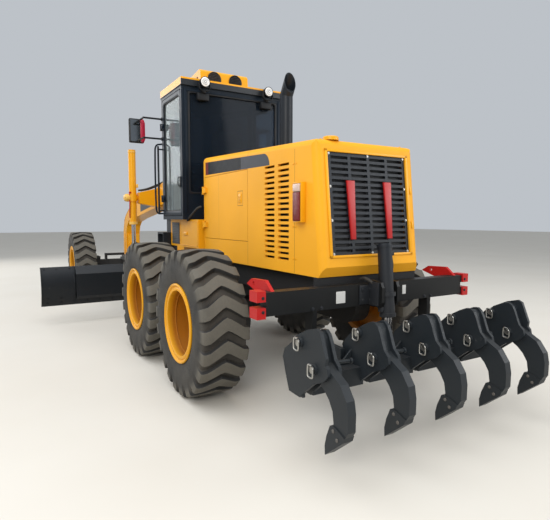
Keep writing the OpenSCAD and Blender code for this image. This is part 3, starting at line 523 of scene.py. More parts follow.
def around(at, r, n, plane, step=0.0):
    """n points at radius r about at, in the plane "xy" or "xz", turned by step of a pitch."""
    x, y, z = at
    for k in range(n):
        a = math.tau * (k + step) / n
        u, w = r * math.cos(a), r * math.sin(a)
        yield (x + u, y + w, z) if plane == "xy" else (x + u, y, z + w)


def soften(bm, edges, r, segs=2):
    if r > 0:
        bmesh.ops.bevel(bm, geom=edges, offset=r, segments=segs, profile=0.5, affect="EDGES", clamp_overlap=True)


def block(bm, x, y, z, r=4.0, segs=2):
    """A rounded box; x, y and z are (low, high)."""
    made = bmesh.ops.create_cube(bm, size=1.0)["verts"]
    for v in made:
        v.co = Vector([(a + b) / 2 + c * (b - a) for (a, b), c in zip((x, y, z), v.co)])
    soften(bm, once(e for v in made for e in v.link_edges), r, segs)


def prism(bm, pts, axis, lo, hi, r=0.0, segs=2):
    """An outline drawn in the other two axes, from lo to hi along axis, with its rims rounded."""
    base = bm.faces.new([bm.verts.new(put(axis, p, lo)) for p in pts])
    grown = bmesh.ops.extrude_face_region(bm, geom=[base])["geom"]
    top = [v for v in grown if isinstance(v, bmesh.types.BMVert)]
    step = put(axis, (0, 0), hi - lo)
    for v in top:
        v.co += step
    faces = once([base] + [f for v in top for f in v.link_faces])
    bmesh.ops.recalc_face_normals(bm, faces=faces)
    idx = "xyz".index(axis)
    rims = once(e for f in faces for e in f.edges if abs(e.verts[0].co[idx] - e.verts[1].co[idx]) < 1e-6)
    soften(bm, rims, r, segs)


def lathe(bm, outline, at, axis, n=32, phase=0.0):
    """(along, radius) pairs turned about axis through at; a radius of 0 closes an end."""
    m = Matrix.Translation(Vector(at)) @ turn_to(axis)
    rings = []
    for along, r in outline:
        if r <= 0:
            rings.append([bm.verts.new(m @ Vector((0, 0, along)))])
        else:
            turns = [phase + math.tau * k / n for k in range(n)]
            rings.append([bm.verts.new(m @ Vector((r * math.cos(a), r * math.sin(a), along))) for a in turns])
    for a, b in zip(rings, rings[1:]):
        for k in range(n):
            k2 = (k + 1) % n
            loop = once((a[k % len(a)], a[k2 % len(a)], b[k2 % len(b)], b[k % len(b)]))
            if len(loop) > 2:
                bm.faces.new(loop)


def drum(bm, at, axis, r, length, edge=2.0, n=28):
    """A short round bar from at along axis, with broken edges."""
    outline = [(0, 0), (0, r - edge), (edge, r), (length - edge, r), (length, r - edge), (length, 0)]
    lathe(bm, outline, at, axis, n)


def bolt(bm, at, axis, size=11.0, washer=True):
    """A hexagon head on a washer; size is the head's radius."""
    at, axis = Vector(at), Vector(axis).normalized()
    base = 0.0
    if washer:
        lathe(bm, [(0, 0), (0, size * 1.35), (size * 0.22, size * 1.35), (size * 0.22, 0)], at, axis, 14)
        base = size * 0.22
    top = base + size * 0.75
    head = [(base, 0), (base, size), (base + size * 0.62, size), (top, size * 0.82), (top, 0)]
    lathe(bm, head, at, axis, 6, phase=at.x)


def bolts(bm, xs, ys, zs, axis, size):
    """A bolt at each mix of the given x, y and z."""
    for at in itertools.product(xs, ys, zs):
        bolt(bm, at, axis, size)


def curve_through(points, per=6):
    """Catmull-Rom through the points."""
    pts = [Vector(p) for p in points]
    ext = [pts[0] * 2 - pts[1]] + pts + [pts[-1] * 2 - pts[-2]]
    out = []
    for a, b, c, d in zip(ext, ext[1:], ext[2:], ext[3:]):
        for k in range(per):
            t = k / per
            bend = (2 * a - 5 * b + 4 * c - d) * t * t + (3 * b - a - 3 * c + d) * t ** 3
            out.append(0.5 * (2 * b + (c - a) * t + bend))
    return out + [pts[-1]]


def tube(bm, points, r, n=10, per=6):
    """A round bar or hose along the points, closed at its ends."""
    path = curve_through(points, per) if len(points) > 2 else [Vector(p) for p in points]
    side = None
    rings = []
    for i, p in enumerate(path):
        d = heading(path, i)
        if side is None:
            side = d.orthogonal().normalized()
        side = (side - d * side.dot(d)).normalized()
        up = d.cross(side)
        turns = [math.tau * k / n for k in range(n)]
        rings.append([bm.verts.new(p + (side * math.cos(a) + up * math.sin(a)) * r) for a in turns])
    skin(bm, rings)


# ---- tyres
# side wall as (out from the middle, radius); tread as (out and out at a lug, radius and radius at a lug)
TYRE_SIDE = [(168, 322), (176, 326), (184, 338), (187, 352), (192, 362), (199, 378), (205, 398), (210, 425),
             (213.5, 455), (215, 485), (214.5, 512), (212.5, 536), (209, 556)]
LUG_ROWS = [(205, 212, 574, 584), (201, 211, 592, 612), (197, 209, 606, 638), (190, 204, 615, 658),
            (176, 190, 620, 667), (150, 150, 623, 669.5), (112, 112, 625, 671.5), (74, 74, 626.5, 673),
            (36, 36, 627.5, 673.8)]
LUG_COUNT = 22
# (share of a pitch, lug height) round one lug
LUG_STEPS = ((0.00, 0.0), (0.11, 0.0), (0.19, 0.0), (0.225, 0.82), (0.25, 1.0), (0.38, 1.0), (0.52, 1.0), (0.66, 1.0),
             (0.79, 1.0), (0.815, 0.82), (0.85, 0.0), (0.93, 0.0))
LUG_SWEEP = 8.6                # degrees from the chevron's point to its shoulders


def lug_lead(y):
    """Degrees by which the tread runs ahead at y: a chevron with a soft point and straight shoulders."""
    rise = min(abs(y) / 203.0, 0.80)
    return LUG_SWEEP * (1.0 - (math.sqrt(rise * rise + 0.006) - 0.077) / 0.73)


def tyre_mesh(bm, x, side):
    half = [(a, a, b, b) for a, b in TYRE_SIDE] + list(LUG_ROWS)
    rows = [(y0, y1, r0, r1) for y0, y1, r0, r1 in half] + [(0, 0, 628, 674)] + \
        [(-y0, -y1, r0, r1) for y0, y1, r0, r1 in reversed(half)]
    uv = bm.loops.layers.uv.new("UVMap")
    pitch = 360.0 / LUG_COUNT
    # an upright lug stands on the floor: its middle is at 270 degrees
    first = 270.0 - 0.52 * pitch + LUG_SWEEP
    cols = []
    for lug in range(LUG_COUNT):
        for step, height in LUG_STEPS:
            col = []
            for i, (y0, y1, r0, r1) in enumerate(rows):
                y = y0 + (y1 - y0) * height
                r = r0 + (r1 - r0) * height
                in_tread = len(TYRE_SIDE) <= i < len(rows) - len(TYRE_SIDE)
                lead = lug_lead(y)
                a = math.radians(first + (lug + step) * pitch - lead)
                v = bm.verts.new((x + r * math.cos(a), side * TRACK_HALF + y, WHEEL_Z + r * math.sin(a)))
                col.append((v, height if in_tread else 0.0, r * MM))
            cols.append(col)
    n, m = len(cols), len(rows)
    for i in range(n):
        for j in range(m):
            quad = [cols[i][j], cols[i][(j + 1) % m], cols[(i + 1) % n][(j + 1) % m], cols[(i + 1) % n][j]]
            f = bm.faces.new([q[0] for q in quad])
            for loop, q in zip(f.loops, quad):
                loop[uv].uv = (q[1], q[2])
    bmesh.ops.recalc_face_normals(bm, faces=bm.faces)


def rim_extra(bm, x, side):
    """Lock ring, wheel nuts, hub cap and valve on the outside of a rim."""
    def at(out, r=0.0, a=0.0):
        return (x + r * math.cos(a), side * (TRACK_HALF + out), WHEEL_Z + r * math.sin(a))
    axis = (0, side, 0)
    lathe(bm, [(0, 300), (0, 359), (7, 366), (16, 364), (20, 356), (14, 345), (3, 339), (1, 333), (6, 328), (10, 318),
               (8, 303), (0, 300)], at(193), axis, 72)
    lathe(bm, [(0, 301.5), (3, 296), (0, 291), (-4, 290), (-4, 301.5)], at(120), axis, 72)
    for p in around(at(-78), 232, 12, "xz", 0.5):
        bolt(bm, p, axis, 17)
    lathe(bm, [(0, 0), (0, 126), (8, 126), (12, 120), (12, 70), (30, 64), (36, 55), (38, 0)], at(-21), axis, 40)
    for p in around(at(-9), 98, 8, "xz"):
        bolt(bm, p, axis, 9, washer=False)
    tube(bm, [at(-70, 285, 1.0), at(-20, 283, 1.0), at(12, 276, 1.0)], 7, 8)


for axle, axle_x in AXLES.items():
    for side_name, side in SIDES:
        body = "wheel_%s_%s" % (axle, side_name)
        tyre_obj = piece("tyre_tread_%s_%s" % (axle, side_name), body, "tyre",
                         lambda bm: tyre_mesh(bm, axle_x, side), sharp=40)
        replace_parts(tyre_obj, "tyre_%s_%s" % (axle, side_name))
        piece("rim_nuts_%s_%s" % (axle, side_name), body, "rim", lambda bm: rim_extra(bm, axle_x, side))


def ribbon(bm, points, side, wide, thick, per=5):
    """A flat bar along the points; side is the direction of its width."""
    path = curve_through(points, per)
    side = Vector(side).normalized()
    rings = []
    for i, p in enumerate(path):
        d = heading(path, i)
        s = (side - d * side.dot(d)).normalized() * (wide / 2)
        n = d.cross(s).normalized() * (thick / 2)
        rings.append([bm.verts.new(p + a * s + b * n) for a, b in ((-1, -1), (1, -1), (1, 1), (-1, 1))])
    skin(bm, rings)
    bmesh.ops.recalc_face_normals(bm, faces=bm.faces)


# ---- ripper
PINS = ((-2406, 836), (-2565, 702))
PIN_END = SHANK_HALF + 44
TIP_BOLTS = ((-2772, 330), (-2735, 372))
RIPPER_HINGE = (-1930, 660)
BEAM_REAR = -1990.0
RAM_Y = -20
RAM_TOP, RAM_EYE = Vector((-2085, RAM_Y, 1020)), Vector((-2125, RAM_Y, 575))   # trunnion and rod eye


@shape("ripper", "zinc")
def ripper_pin_retainers(bm):
    """Pin heads with their bent-wire retainers, on both sides of each holder."""
    for y in SHANK_YS:
        for s in BOTH:
            for px, pz in PINS:
                end = y + s * PIN_END
                drum(bm, (px, end - s * 4, pz), (0, s, 0), 24, 12, 3, 20)
                a = end + s * 14
                wire = ((-26, 12), (-26, -36), (-12, -46), (12, -46), (26, -36), (26, 22), (12, 32), (-14, 30))
                tube(bm, [(px + dx, a, pz + dz) for dx, dz in wire], 5.5, 8, 3)
                tube(bm, [(px, end + s * 3, pz + 31), (px, end + s * 20, pz + 31)], 6, 8)


@shape("ripper", "ripper")
def ripper_straps(bm):
    """Bosses round the pins, spare pin holes, gussets and straps between the holders."""
    for y in SHANK_YS:
        for s in BOTH:
            face = y + s * (SHANK_HALF + 24.3)
            for px, pz in PINS:
                lathe(bm, [(0, 18), (0, 33), (11, 31), (13, 28), (13, 18)], (px, face, pz), (0, s, 0), 28)
    for a, b in zip(SHANK_YS, SHANK_YS[1:]):
        lo, hi = a + SHANK_HALF + 24, b - SHANK_HALF - 24
        mid = (lo + hi) / 2
        ribbon(bm, [(-2400, hi, 850), (-2395, hi - 45, 800), (-2372, mid + 60, 720), (-2352, mid, 640),
                    (-2345, mid - 10, 598)], (1, 0, 0.35), 60, 11)
        tube(bm, [(-2520, hi, 705), (-2510, hi - 110, 700), (-2505, hi - 215, 690)], 13, 12, 3)
        lathe(bm, [(0, 0), (0, 20), (16, 20), (16, 0)], (-2505, hi - 216, 690), (0, -1, 0), 14)
        for y, s in ((lo, 1), (hi, -1)):
            prism(bm, [(y, 598), (y + s * 120, 598), (y + s * 104, 608), (y + s * 14, 690), (y, 700)],
                  "x", -2330, -2316, 1.5)


@shape("ripper", "iron")
def ripper_tip_bolts(bm):
    for y in SHANK_YS:
        for s in BOTH:
            for px, pz in TIP_BOLTS:
                head = [(0, 0), (0, 12), (3, 12), (6, 8), (6, 0)]
                lathe(bm, head, (px, y + s * (SHANK_HALF + 8), pz), (0, s, 0), 16)


@shape("rear", "charcoal")
def ripper_hinge_caps(bm):
    x, z = RIPPER_HINGE
    for s in BOTH:
        drum(bm, (x, s * 641, z), (0, s, 0), 44, 12, 3, 28)
        bolt(bm, (x, s * 653, z), (0, s, 0), 17)
        drum(bm, (x, s * 561, z), (0, -s, 0), 40, 10, 3, 24)


@shape("rear", "charcoal")
def ram_brackets(bm):
    """Bracket plates of the ripper cylinder with their bolts, and the bolts on the beam's rear face."""
    for s in BOTH:
        y0, y1 = span(s, 97, 111)
        block(bm, (-2106, BEAM_REAR), (RAM_Y + y0, RAM_Y + y1), (930, 1120), 3)
    block(bm, (BEAM_REAR - 12, BEAM_REAR + 1), (60, 190), (938, 1092), 3)
    block(bm, (BEAM_REAR - 12, BEAM_REAR + 1), (-230, -100), (938, 1092), 3)
    bolts(bm, [BEAM_REAR - 12], (86, 164, -126, -204), (972, 1058), BACK, 12)
    bolts(bm, [BEAM_REAR - 14], (1078, -1078), (963, 1064), BACK, 9)
    bolts(bm, [BEAM_REAR], (-640, -560, 560, 640), [945], BACK, 11)


@shape("rear", "plate")
def beam_blank_plates(bm):
    """Blank plates where the photograph has labels."""
    block(bm, (BEAM_REAR - 2.5, BEAM_REAR + 1), (330, 420), (965, 1058), 1, 1)
    block(bm, (BEAM_REAR - 2.5, BEAM_REAR + 1), (-330, -290), (985, 1062), 1, 1)


@shape("rear", "hose")
def ram_hose_pair(bm):
    """Two hoses from the rear frame to the ripper cylinder's ports."""
    tube(bm, [(-1905, -150, 1130), (-1960, -150, 1150), (-2035, -120, 1230), (-2040, -96, 1330),
              (-2054, -84, 1346)], 13, 10)
    tube(bm, [(-1905, 100, 1130), (-1965, 100, 1140), (-2040, 75, 1090), (-2052, 60, 960), (-2079, 44, 902)], 13, 10)


@shape("ripper_barrel", "charcoal")
def ram_fittings(bm):
    """Gland and cap rings, port blocks and elbows on the ripper cylinder."""
    top = RAM_TOP
    d = (RAM_EYE - top).normalized()
    lathe(bm, [(0, 57), (0, 66), (26, 66), (30, 62), (30, 57)], top + d * 152, d, 36)
    lathe(bm, [(0, 57), (0, 64), (20, 64), (20, 57)], top - d * 398, d, 36)
    lathe(bm, [(0, 0), (0, 50), (8, 46), (8, 0)], top - d * 400, -d, 30)
    lathe(bm, [(-16, 57), (-16, 72), (16, 72), (16, 57)], top, d, 36)
    for along, y in ((-330, -84), (120, 44)):
        p = top + d * along
        block(bm, (p.x - 20, p.x + 20), (y - 20, y + 20), (p.z - 20, p.z + 20), 4)
        drum(bm, (p.x, y, p.z + 18), (0.3, 0, 1), 13, 26, 3, 6)


# ---- hood
def on_rear(y, w, out=0.0):
    """A point on the hood's leaning rear face: w up along it, out away from it."""
    c, s = math.cos(HOOD_LEAN), math.sin(HOOD_LEAN)
    return Vector((HOOD_LOW[0] + w * s - out * c, y, HOOD_LOW[1] + w * c + out * s))


def hood_top(x, fall=0.04405):
    """Height of the hood's top at x."""
    return 2350 - (430 - x) * fall


REAR_OUT = (-math.cos(HOOD_LEAN), 0, math.sin(HOOD_LEAN))


def lay_on_rear(bm, build):
    """Builds in the rear face's own axes (x out, y across, z up the face) and lays it on the face."""
    part = bmesh.new()
    build(part)
    for v in part.verts:
        v.co = on_rear(v.co.y, v.co.z, v.co.x)
    bmesh.ops.reverse_faces(part, faces=part.faces)
    absorb(bm, part)


@shape("rear", "red")
def grille_red_strips(bm):
    """Two tapered red strips that stand on the grille."""
    def flat(part):
        for mid in (206, -190):
            prism(part, [(mid - 24, 215), (mid + 24, 215), (mid + 42, 690), (mid - 42, 690)], "x", -2, 16, 5)
    lay_on_rear(bm, flat)


@shape("rear", "yellow")
def grille_border(bm):
    """The pressed edge round the grille, and two catches beside it."""
    def flat(part):
        for z in ((913, 934), (72, 93)):
            block(part, (-1, 9), (-446, 446), z, 3)
        for y in ((-446, -419), (419, 446)):
            block(part, (-1, 9), y, (72, 934), 3)
        for z in ((600, 660), (300, 360)):
            block(part, (0, 12), (-472, -452), z, 3)
    lay_on_rear(bm, flat)


@shape("rear", "zinc")
def grille_bolts(bm):
    for ys, ws in (((-400, 0, 400), (103, 902)), ((-400, 400), (370, 640))):
        for y in ys:
            for w in ws:
                bolt(bm, on_rear(y, w, -7), REAR_OUT, 8)


@shape("rear", "iron")
def radiator_core(bm):
    """Finned core and shroud behind the grille."""
    def flat(part):
        block(part, (-80, -52), (-412, 412), (98, 908), 4)
        for k in range(27):
            z = 110 + k * 29.6
            block(part, (-53, -44), (-405, 405), (z, z + 12), 0)
        for y in (-206, 0, 206):
            block(part, (-54, -38), (y - 9, y + 9), (100, 905), 2)
    lay_on_rear(bm, flat)


@shape("hood_door", "yellow", pair=True)
def hood_latch(bm):
    """The service door's latch with its keyhole."""
    block(bm, (-573, -505), (HOOD_HALF - 2, HOOD_HALF + 5), (1788, 1880), 5)
    drum(bm, (-539, HOOD_HALF + 4, 1820), LEFT, 13, 5, 1.5, 20)
    block(bm, (-566, -512), (HOOD_HALF + 4, HOOD_HALF + 8), (1846, 1862), 1.5)


@shape("hood_door", "trim", pair=True)
def hood_keyhole(bm):
    block(bm, (-541, -537), (HOOD_HALF + 8, HOOD_HALF + 10), (1812, 1828), 0.5, 1)


@shape("rear", "yellow", sides=BOTH)
def hood_bolts(bm):
    bolts(bm, (-1540, -1580), [HOOD_HALF - 1], (1290, 1560, 1830, 2080), LEFT, 7)
    for x in (-1780, -1500, -1100, -760, 380):
        bolt(bm, (x, 430, hood_top(x, 0.0441) + 0.5), UP, 8)


@shape("rear", "yellow")
def hood_top_fittings(bm):
    """The pressed ridge, two filler caps and two cover plates on the hood's top."""
    def plate(x0, x1, low, high, y0, y1, r):
        pts = [(x, hood_top(x) + up) for x, up in ((x0, low), (x1, low), (x1, high), (x0, high))]
        prism(bm, pts, "y", y0, y1, r)

    plate(-1700, -760, 0, 14, -300, 300, 6)
    lathe(bm, [(0, 0), (0, 66), (22, 64), (30, 56), (34, 20), (34, 0)], (-1780, 330, hood_top(-1780)), UP, 30)
    lathe(bm, [(0, 0), (0, 46), (18, 44), (24, 36), (24, 0)], (180, 300, hood_top(180)), UP, 26)
    for x in (-200, 60):
        plate(x, x + 120, -1, 8, -420, -180, 3)


@shape("rear", "yellow", sides=BOTH)
def tail_lamp_brackets(bm):
    """Bracket round each tail lamp."""
    y0 = HOOD_HALF
    for z0, z1 in ((1596, 1606), (1909, 1920)):
        block(bm, (-1728, -1606), (y0, y0 + 50), (z0, z1), 3)
    for x0, x1 in ((-1729, -1719), (-1615, -1605)):
        block(bm, (x0, x1), (y0, y0 + 50), (1596, 1920), 3)


def lens_body(z0, z1):
    """A tail lamp's lens between two heights, with its strip on the rear."""
    def build(bm):
        block(bm, (-1717, -1617), (HOOD_HALF + 44, HOOD_HALF + 60), (z0, z1), 7, 3)
        block(bm, (-1728, -1719), (HOOD_HALF + 6, HOOD_HALF + 44), (z0, z1), 4, 2)
    return build


EDGE_MODS = {"hood": 7, "hood_door_left": 2.5, "hood_door_right": 2.5, "cab_base": 9, "cab_roof": 14, "cab_frame": 5,
             "front_frame": 5, "ripper_mount": 3, "ripper_shanks": 5, "ripper_tips": 3, "ripper_frame": 3,
             "rear_frame": 5, "blade": 2, "tandem_axle": 8, "front_axle": 5, "drawbar": 5, "circle": 3,
             "cab_door_left": 4, "cab_door_right": 4, "console": 8, "mirrors": 4, "steps": 2}
for node, width in EDGE_MODS.items():
    mod = NODES[node].modifiers.new("edges", "BEVEL")
    mod.width = width * MM
    mod.segments = 2
    mod.limit_method = "ANGLE"
    mod.angle_limit = math.radians(38)
    mod.use_clamp_overlap = True

piece("tail_lens_clear", "rear", "lens_pale", lens_body(1843, 1907), sides=BOTH)
piece("tail_lens_red", "rear", "lens_red", lens_body(1608, 1840), sides=BOTH)


# ---- cab
CAB_REAR, CAB_POST, CAB_FRONT = 690.0, 1480.0, 2060.0
CAB_HALF, CAB_FRONT_HALF = 703.0, 430.0
ROOF_TOP = 3320.0
DOOR = (725.0, 1440.0, 1670.0, 3190.0)          # x and z of the door's opening
REAR_PANE = (-608.0, 608.0, 1950.0, 3160.0)     # y and z of the rear window
SIDE_PANE = (1540.0, 1990.0, 1750.0, 3160.0)    # x and z of the corner windows
FRONT_PANE = (-370.0, 370.0, 1750.0, 3160.0)


def round_rect(a0, a1, b0, b1, r, n=5):
    """Outline of a rectangle with round corners, always with 4 (n + 1) points."""
    out = []
    for ca, cb, start in ((a1 - r, b1 - r, 0), (a0 + r, b1 - r, 90), (a0 + r, b0 + r, 180), (a1 - r, b0 + r, 270)):
        for k in range(n + 1):
            t = math.radians(start + 90.0 * k / n)
            out.append((ca + r * math.cos(t), cb + r * math.sin(t)))
    return out


def ring(bm, outer, inner, axis, lo, hi, r=2.0):
    """A flat frame between two outlines with the same number of points."""
    outlines = ((outer, lo), (outer, hi), (inner, hi), (inner, lo))
    loops = [[bm.verts.new(put(axis, p, a)) for p in pts] for pts, a in outlines]
    skin(bm, loops, closed=True)
    bmesh.ops.recalc_face_normals(bm, faces=once(f for loop in loops for v in loop for f in v.link_faces))
    soften(bm, once(e for loop in loops for v in loop for e in v.link_edges if e.other_vert(v) in loop), r)


def inset(rect, sides, below, above, r):
    """The round rectangle that lies inside rect by so much; below 0 it lies outside."""
    a0, a1, b0, b1 = rect
    return round_rect(a0 + sides, a1 - sides, b0 + below, b1 - above, r)


def cushion(bm, x, y, z, crown, up=2, n=12, power=7.0):
    """A stuffed block: round corners, and both wide faces along axis up swell by crown."""
    side = [i for i in range(3) if i != up]
    made = {}

    def vert(key):
        if key not in made:
            p = [math.sin((2.0 * k / n - 1.0) * math.pi / 2) for k in key]
            scale = sum(abs(c) ** power for c in p) ** (-1.0 / power)
            q = [c * scale for c in p]
            swell = crown * q[up] * math.prod(1 - min(abs(q[i]), 1) ** 2.2 for i in side)
            out = [(a + b) / 2 + c * (b - a) / 2 for (a, b), c in zip((x, y, z), q)]
            out[up] += swell
            made[key] = bm.verts.new(out)
        return made[key]

    faces = []
    for axis in range(3):
        for end in (0, n):
            for i in range(n):
                for j in range(n):
                    loop = []
                    for di, dj in ((0, 0), (1, 0), (1, 1), (0, 1)):
                        key = [i + di, j + dj]
                        key.insert(axis, end)
                        loop.append(vert(tuple(key)))
                    faces.append(bm.faces.new(loop))
    bmesh.ops.recalc_face_normals(bm, faces=faces)


def door_frame(bm):
    """Frame with its two hinges."""
    ring(bm, inset(DOOR, 0, 0, 0, 34), inset(DOOR, 46, 58, 50, 46), "y", CAB_HALF - 40, CAB_HALF, 5)
    x1 = DOOR[1]
    for z in (1900, 2850):
        block(bm, (x1 - 72, x1 + 2), (CAB_HALF + 14, CAB_HALF + 26), (z - 28, z + 28), 2)
        block(bm, (x1 - 72, x1 - 18), (CAB_HALF - 2, CAB_HALF + 20), (z - 28, z + 28), 2)
        drum(bm, (x1 + 2.5, CAB_HALF + 20, z - 30), UP, 14, 60, 2, 20)
        bolts(bm, (x1 - 58, x1 - 32), [CAB_HALF + 26], [z], LEFT, 6)


@shape("cab_door", "pane", pair=True)
def door_pane(bm):
    prism(bm, inset(DOOR, 40, 52, 44, 44), "y", CAB_HALF - 25, CAB_HALF - 19, 1, 1)


@shape("cab_door", "trim", pair=True)
def door_seal(bm):
    ring(bm, inset(DOOR, 43, 55, 47, 45), inset(DOOR, 58, 70, 62, 36), "y", CAB_HALF - 30, CAB_HALF - 8, 3)


@shape("cab_door", "trim", pair=True)
def door_handles(bm):
    """Lock with its pull handle, and the bent grab bar across the glass."""
    x0 = DOOR[0]
    block(bm, (x0 + 6, x0 + 40), (CAB_HALF - 1, CAB_HALF + 12), (2010, 2150), 4)
    tube(bm, [(x0 + 22, CAB_HALF + 8, 2140), (x0 + 22, CAB_HALF + 34, 2130), (x0 + 22, CAB_HALF + 34, 2040),
              (x0 + 22, CAB_HALF + 8, 2030)], 7, 8)
    tube(bm, [(x0 + 690, CAB_HALF - 50, 2480), (x0 + 660, CAB_HALF - 62, 2500), (x0 + 430, CAB_HALF - 64, 2560),
              (x0 + 340, CAB_HALF - 64, 2500), (x0 + 240, CAB_HALF - 64, 2430), (x0 + 96, CAB_HALF - 64, 2496),
              (x0 + 26, CAB_HALF - 50, 2400)], 11, 10)
    tube(bm, [(x0 + 345, CAB_HALF - 66, 2490), (x0 + 270, CAB_HALF - 66, 2330), (x0 + 190, CAB_HALF - 66, 2220),
              (x0 + 60, CAB_HALF - 60, 2100), (x0 + 26, CAB_HALF - 50, 2088)], 7, 8)
    for x, z in ((x0 + 26, 2400), (x0 + 690, 2480), (x0 + 26, 2088)):
        block(bm, (x - 16, x + 16), (CAB_HALF - 60, CAB_HALF - 36), (z - 22, z + 22), 4)


@shape("rear", "trim")
def cab_gaskets(bm):
    """Rubber round the fixed panes: rear, front and the two corner windows."""
    for pane, lo, hi in ((REAR_PANE, CAB_REAR - 6, CAB_REAR + 18), (FRONT_PANE, CAB_FRONT - 18, CAB_FRONT + 6)):
        ring(bm, inset(pane, -14, -14, -14, 30), inset(pane, 10, 10, 10, 26), "x", lo, hi, 3)
    turn = math.atan2(CAB_HALF - CAB_FRONT_HALF, CAB_FRONT - CAB_POST)
    grow = 1.0 / math.cos(turn)
    outer, inner = ([((p - CAB_POST) * grow, q) for p, q in outline]
                    for outline in (inset(SIDE_PANE, -12, -14, -14, 30), inset(SIDE_PANE, 10, 10, 10, 26)))
    for s in BOTH:
        part = bmesh.new()
        ring(part, outer, inner, "y", -14, 5, 3)
        for v in part.verts:
            u, w, h = v.co
            v.co = Vector((CAB_POST + u * math.cos(turn) + w * math.sin(turn),
                           s * (CAB_HALF - u * math.sin(turn) + w * math.cos(turn)), h))
        if s < 0:
            bmesh.ops.reverse_faces(part, faces=part.faces)
        absorb(bm, part)


@shape("rear", "cab")
def cab_fittings(bm):
    """Rear posts' pressed ribs, gutter and grab tubes."""
    for s in BOTH:
        block(bm, (CAB_REAR - 9, CAB_REAR), span(s, 640, 668), (1700, 3200), 4)
        tube(bm, [(1512, s * 694, 2640), (1530, s * 772, 2610), (1535, s * 786, 2450), (1535, s * 786, 1900),
                  (1530, s * 772, 1720), (1512, s * 694, 1700)], 12, 10)
    block(bm, (CAB_REAR - 9, CAB_REAR), (-640, 640), (3166, 3186), 3)


@shape("rear", "trim")
def work_lamp_shells(bm):
    """Dark shells and brackets of the two rear work lamps."""
    for s in BOTH:
        y = s * LAMP_Y
        lathe(bm, [(-58, 0), (-58, 34), (-44, 52), (-6, 60), (20, 62), (27, 62), (27, 55), (19, 55)],
              (590, y, LAMP_Z), BACK, 32)
        hoop = ((66, 3262), (66, 3200), (40, 3172), (-40, 3172), (-66, 3200), (-66, 3262))
        ribbon(bm, [(598, y + dy, z) for dy, z in hoop], FRONT, 34, 6, 3)
        block(bm, (596, CAB_REAR), (y - 24, y + 24), (3150, 3178), 3)
        block(bm, (CAB_REAR - 62, CAB_REAR), (y - 76, y + 76), (3066, 3152), 9)
        drum(bm, (598, y, 3166), DOWN, 12, 18, 2, 8)


# work lamp faces: their pale and dark rings are painted reflections
@shape("rear", "lamp_face")
def work_lamp_faces(bm):
    for s in BOTH:
        lathe(bm, [(-14, 0), (-14, 54), (0, 54.8), (3, 54.8), (9, 40), (12, 20), (13, 0)],
              (568, s * LAMP_Y, LAMP_Z), BACK, 32)


@shape("rear", "trim")
def cooler_vents(bm):
    """Two round vents with slats on the cooler's rear face, and the slots in its sides."""
    lean = Vector((-1, 0, 15 / 200)).normalized()
    for y in (150, -150):
        at = Vector((965, y, 3440))
        lathe(bm, [(3, 0), (3, 76), (8, 80), (12, 86), (12, 92), (-6, 92)], at, lean, 40)
        for k in range(-3, 4):
            half = math.sqrt(74 ** 2 - (k * 20) ** 2)
            z = at.z + k * 20
            block(bm, (at.x - 13 + k, at.x - 2 + k), (y - half, y + half), (z - 3, z + 3), 1, 1)
    for s in BOTH:
        for k in range(5):
            block(bm, (1060 + k * 64, 1100 + k * 64), span(s, 338, 344), (3380, 3470), 2, 1)


@shape("rear", "yellow")
def roof_trim(bm):
    """Raised panels of the roof, and bolts on the cooler's lid."""
    for s in BOTH:
        prism(bm, [(700, ROOF_TOP - 1), (1480, ROOF_TOP - 1), (1470, ROOF_TOP + 12), (712, ROOF_TOP + 12)], "y",
              *span(s, 470, 640), 5)
    for x in (1120, 1400):
        for y in (-320, 320):
            bolt(bm, (x, y, 3550 - (x - 1010) * 0.0976 - 0.5), UP, 8)


@shape("rear", "trim", sides=BOTH)
def mirror_shells(bm):
    block(bm, (1722, 1776), (874, 1076), (2664, 2991), 20, 3)
    for z in (2700, 2960):
        drum(bm, (1466, 700, z), LEFT, 24, 14, 3, 20)
        block(bm, (1700, 1735), (938, 962), (z - 16, z + 16), 4)


@shape("rear", "mirror", sides=BOTH)
def mirror_panes(bm):
    prism(bm, round_rect(892, 1058, 2682, 2973, 18), "x", 1719.5, 1724, 1, 1)


@shape("rear", "mirror_red", sides=BOTH)
def mirror_trims(bm):
    prism(bm, [(862, 2720), (880, 2672), (918, 2672), (926, 2700), (926, 2955), (918, 2983), (880, 2983), (862, 2935)],
          "x", 1711, 1784, 8)


@shape("rear", "trim")
def seat_shell(bm):
    """Pedestal, slides, hinge covers and the back's shell."""
    block(bm, (1090, 1370), (-150, 150), (1660, 1930), 18)
    for z in range(1700, 1920, 30):
        block(bm, (1082, 1378), (-158, 158), (z, z + 16), 7)
    block(bm, (1010, 1440), (-190, 190), (1930, 1960), 6)
    block(bm, (990, 1440), (-238, 238), (1962, 2040), 12)
    prism(bm, [(990, 2090), (1016, 2090), (948, 2740), (920, 2740)], "y", -215, 215, 10)
    for s in BOTH:
        drum(bm, (1042, s * 236, 2140), (0, s, 0), 40, 16, 5, 24)


def seat_arms(bm):
    for s in BOTH:
        y = s * 295
        block(bm, (1000, 1335), (y - 34, y + 34), (2240, 2288), 18, 3)


@shape("rear", "trim")
def seat_arm_posts(bm):
    for s in BOTH:
        y = s * 285
        prism(bm, [(1010, 2110), (1062, 2110), (1052, 2244), (1004, 2244)], "y", y - 22, y + 22, 6)


def seat_pan(bm):
    cushion(bm, (985, 1448), (-248, 248), (2030, 2160), 16)
    for s in BOTH:
        cushion(bm, (1080, 1455), (s * 215 - 42, s * 215 + 42), (2060, 2180), 6, n=6)


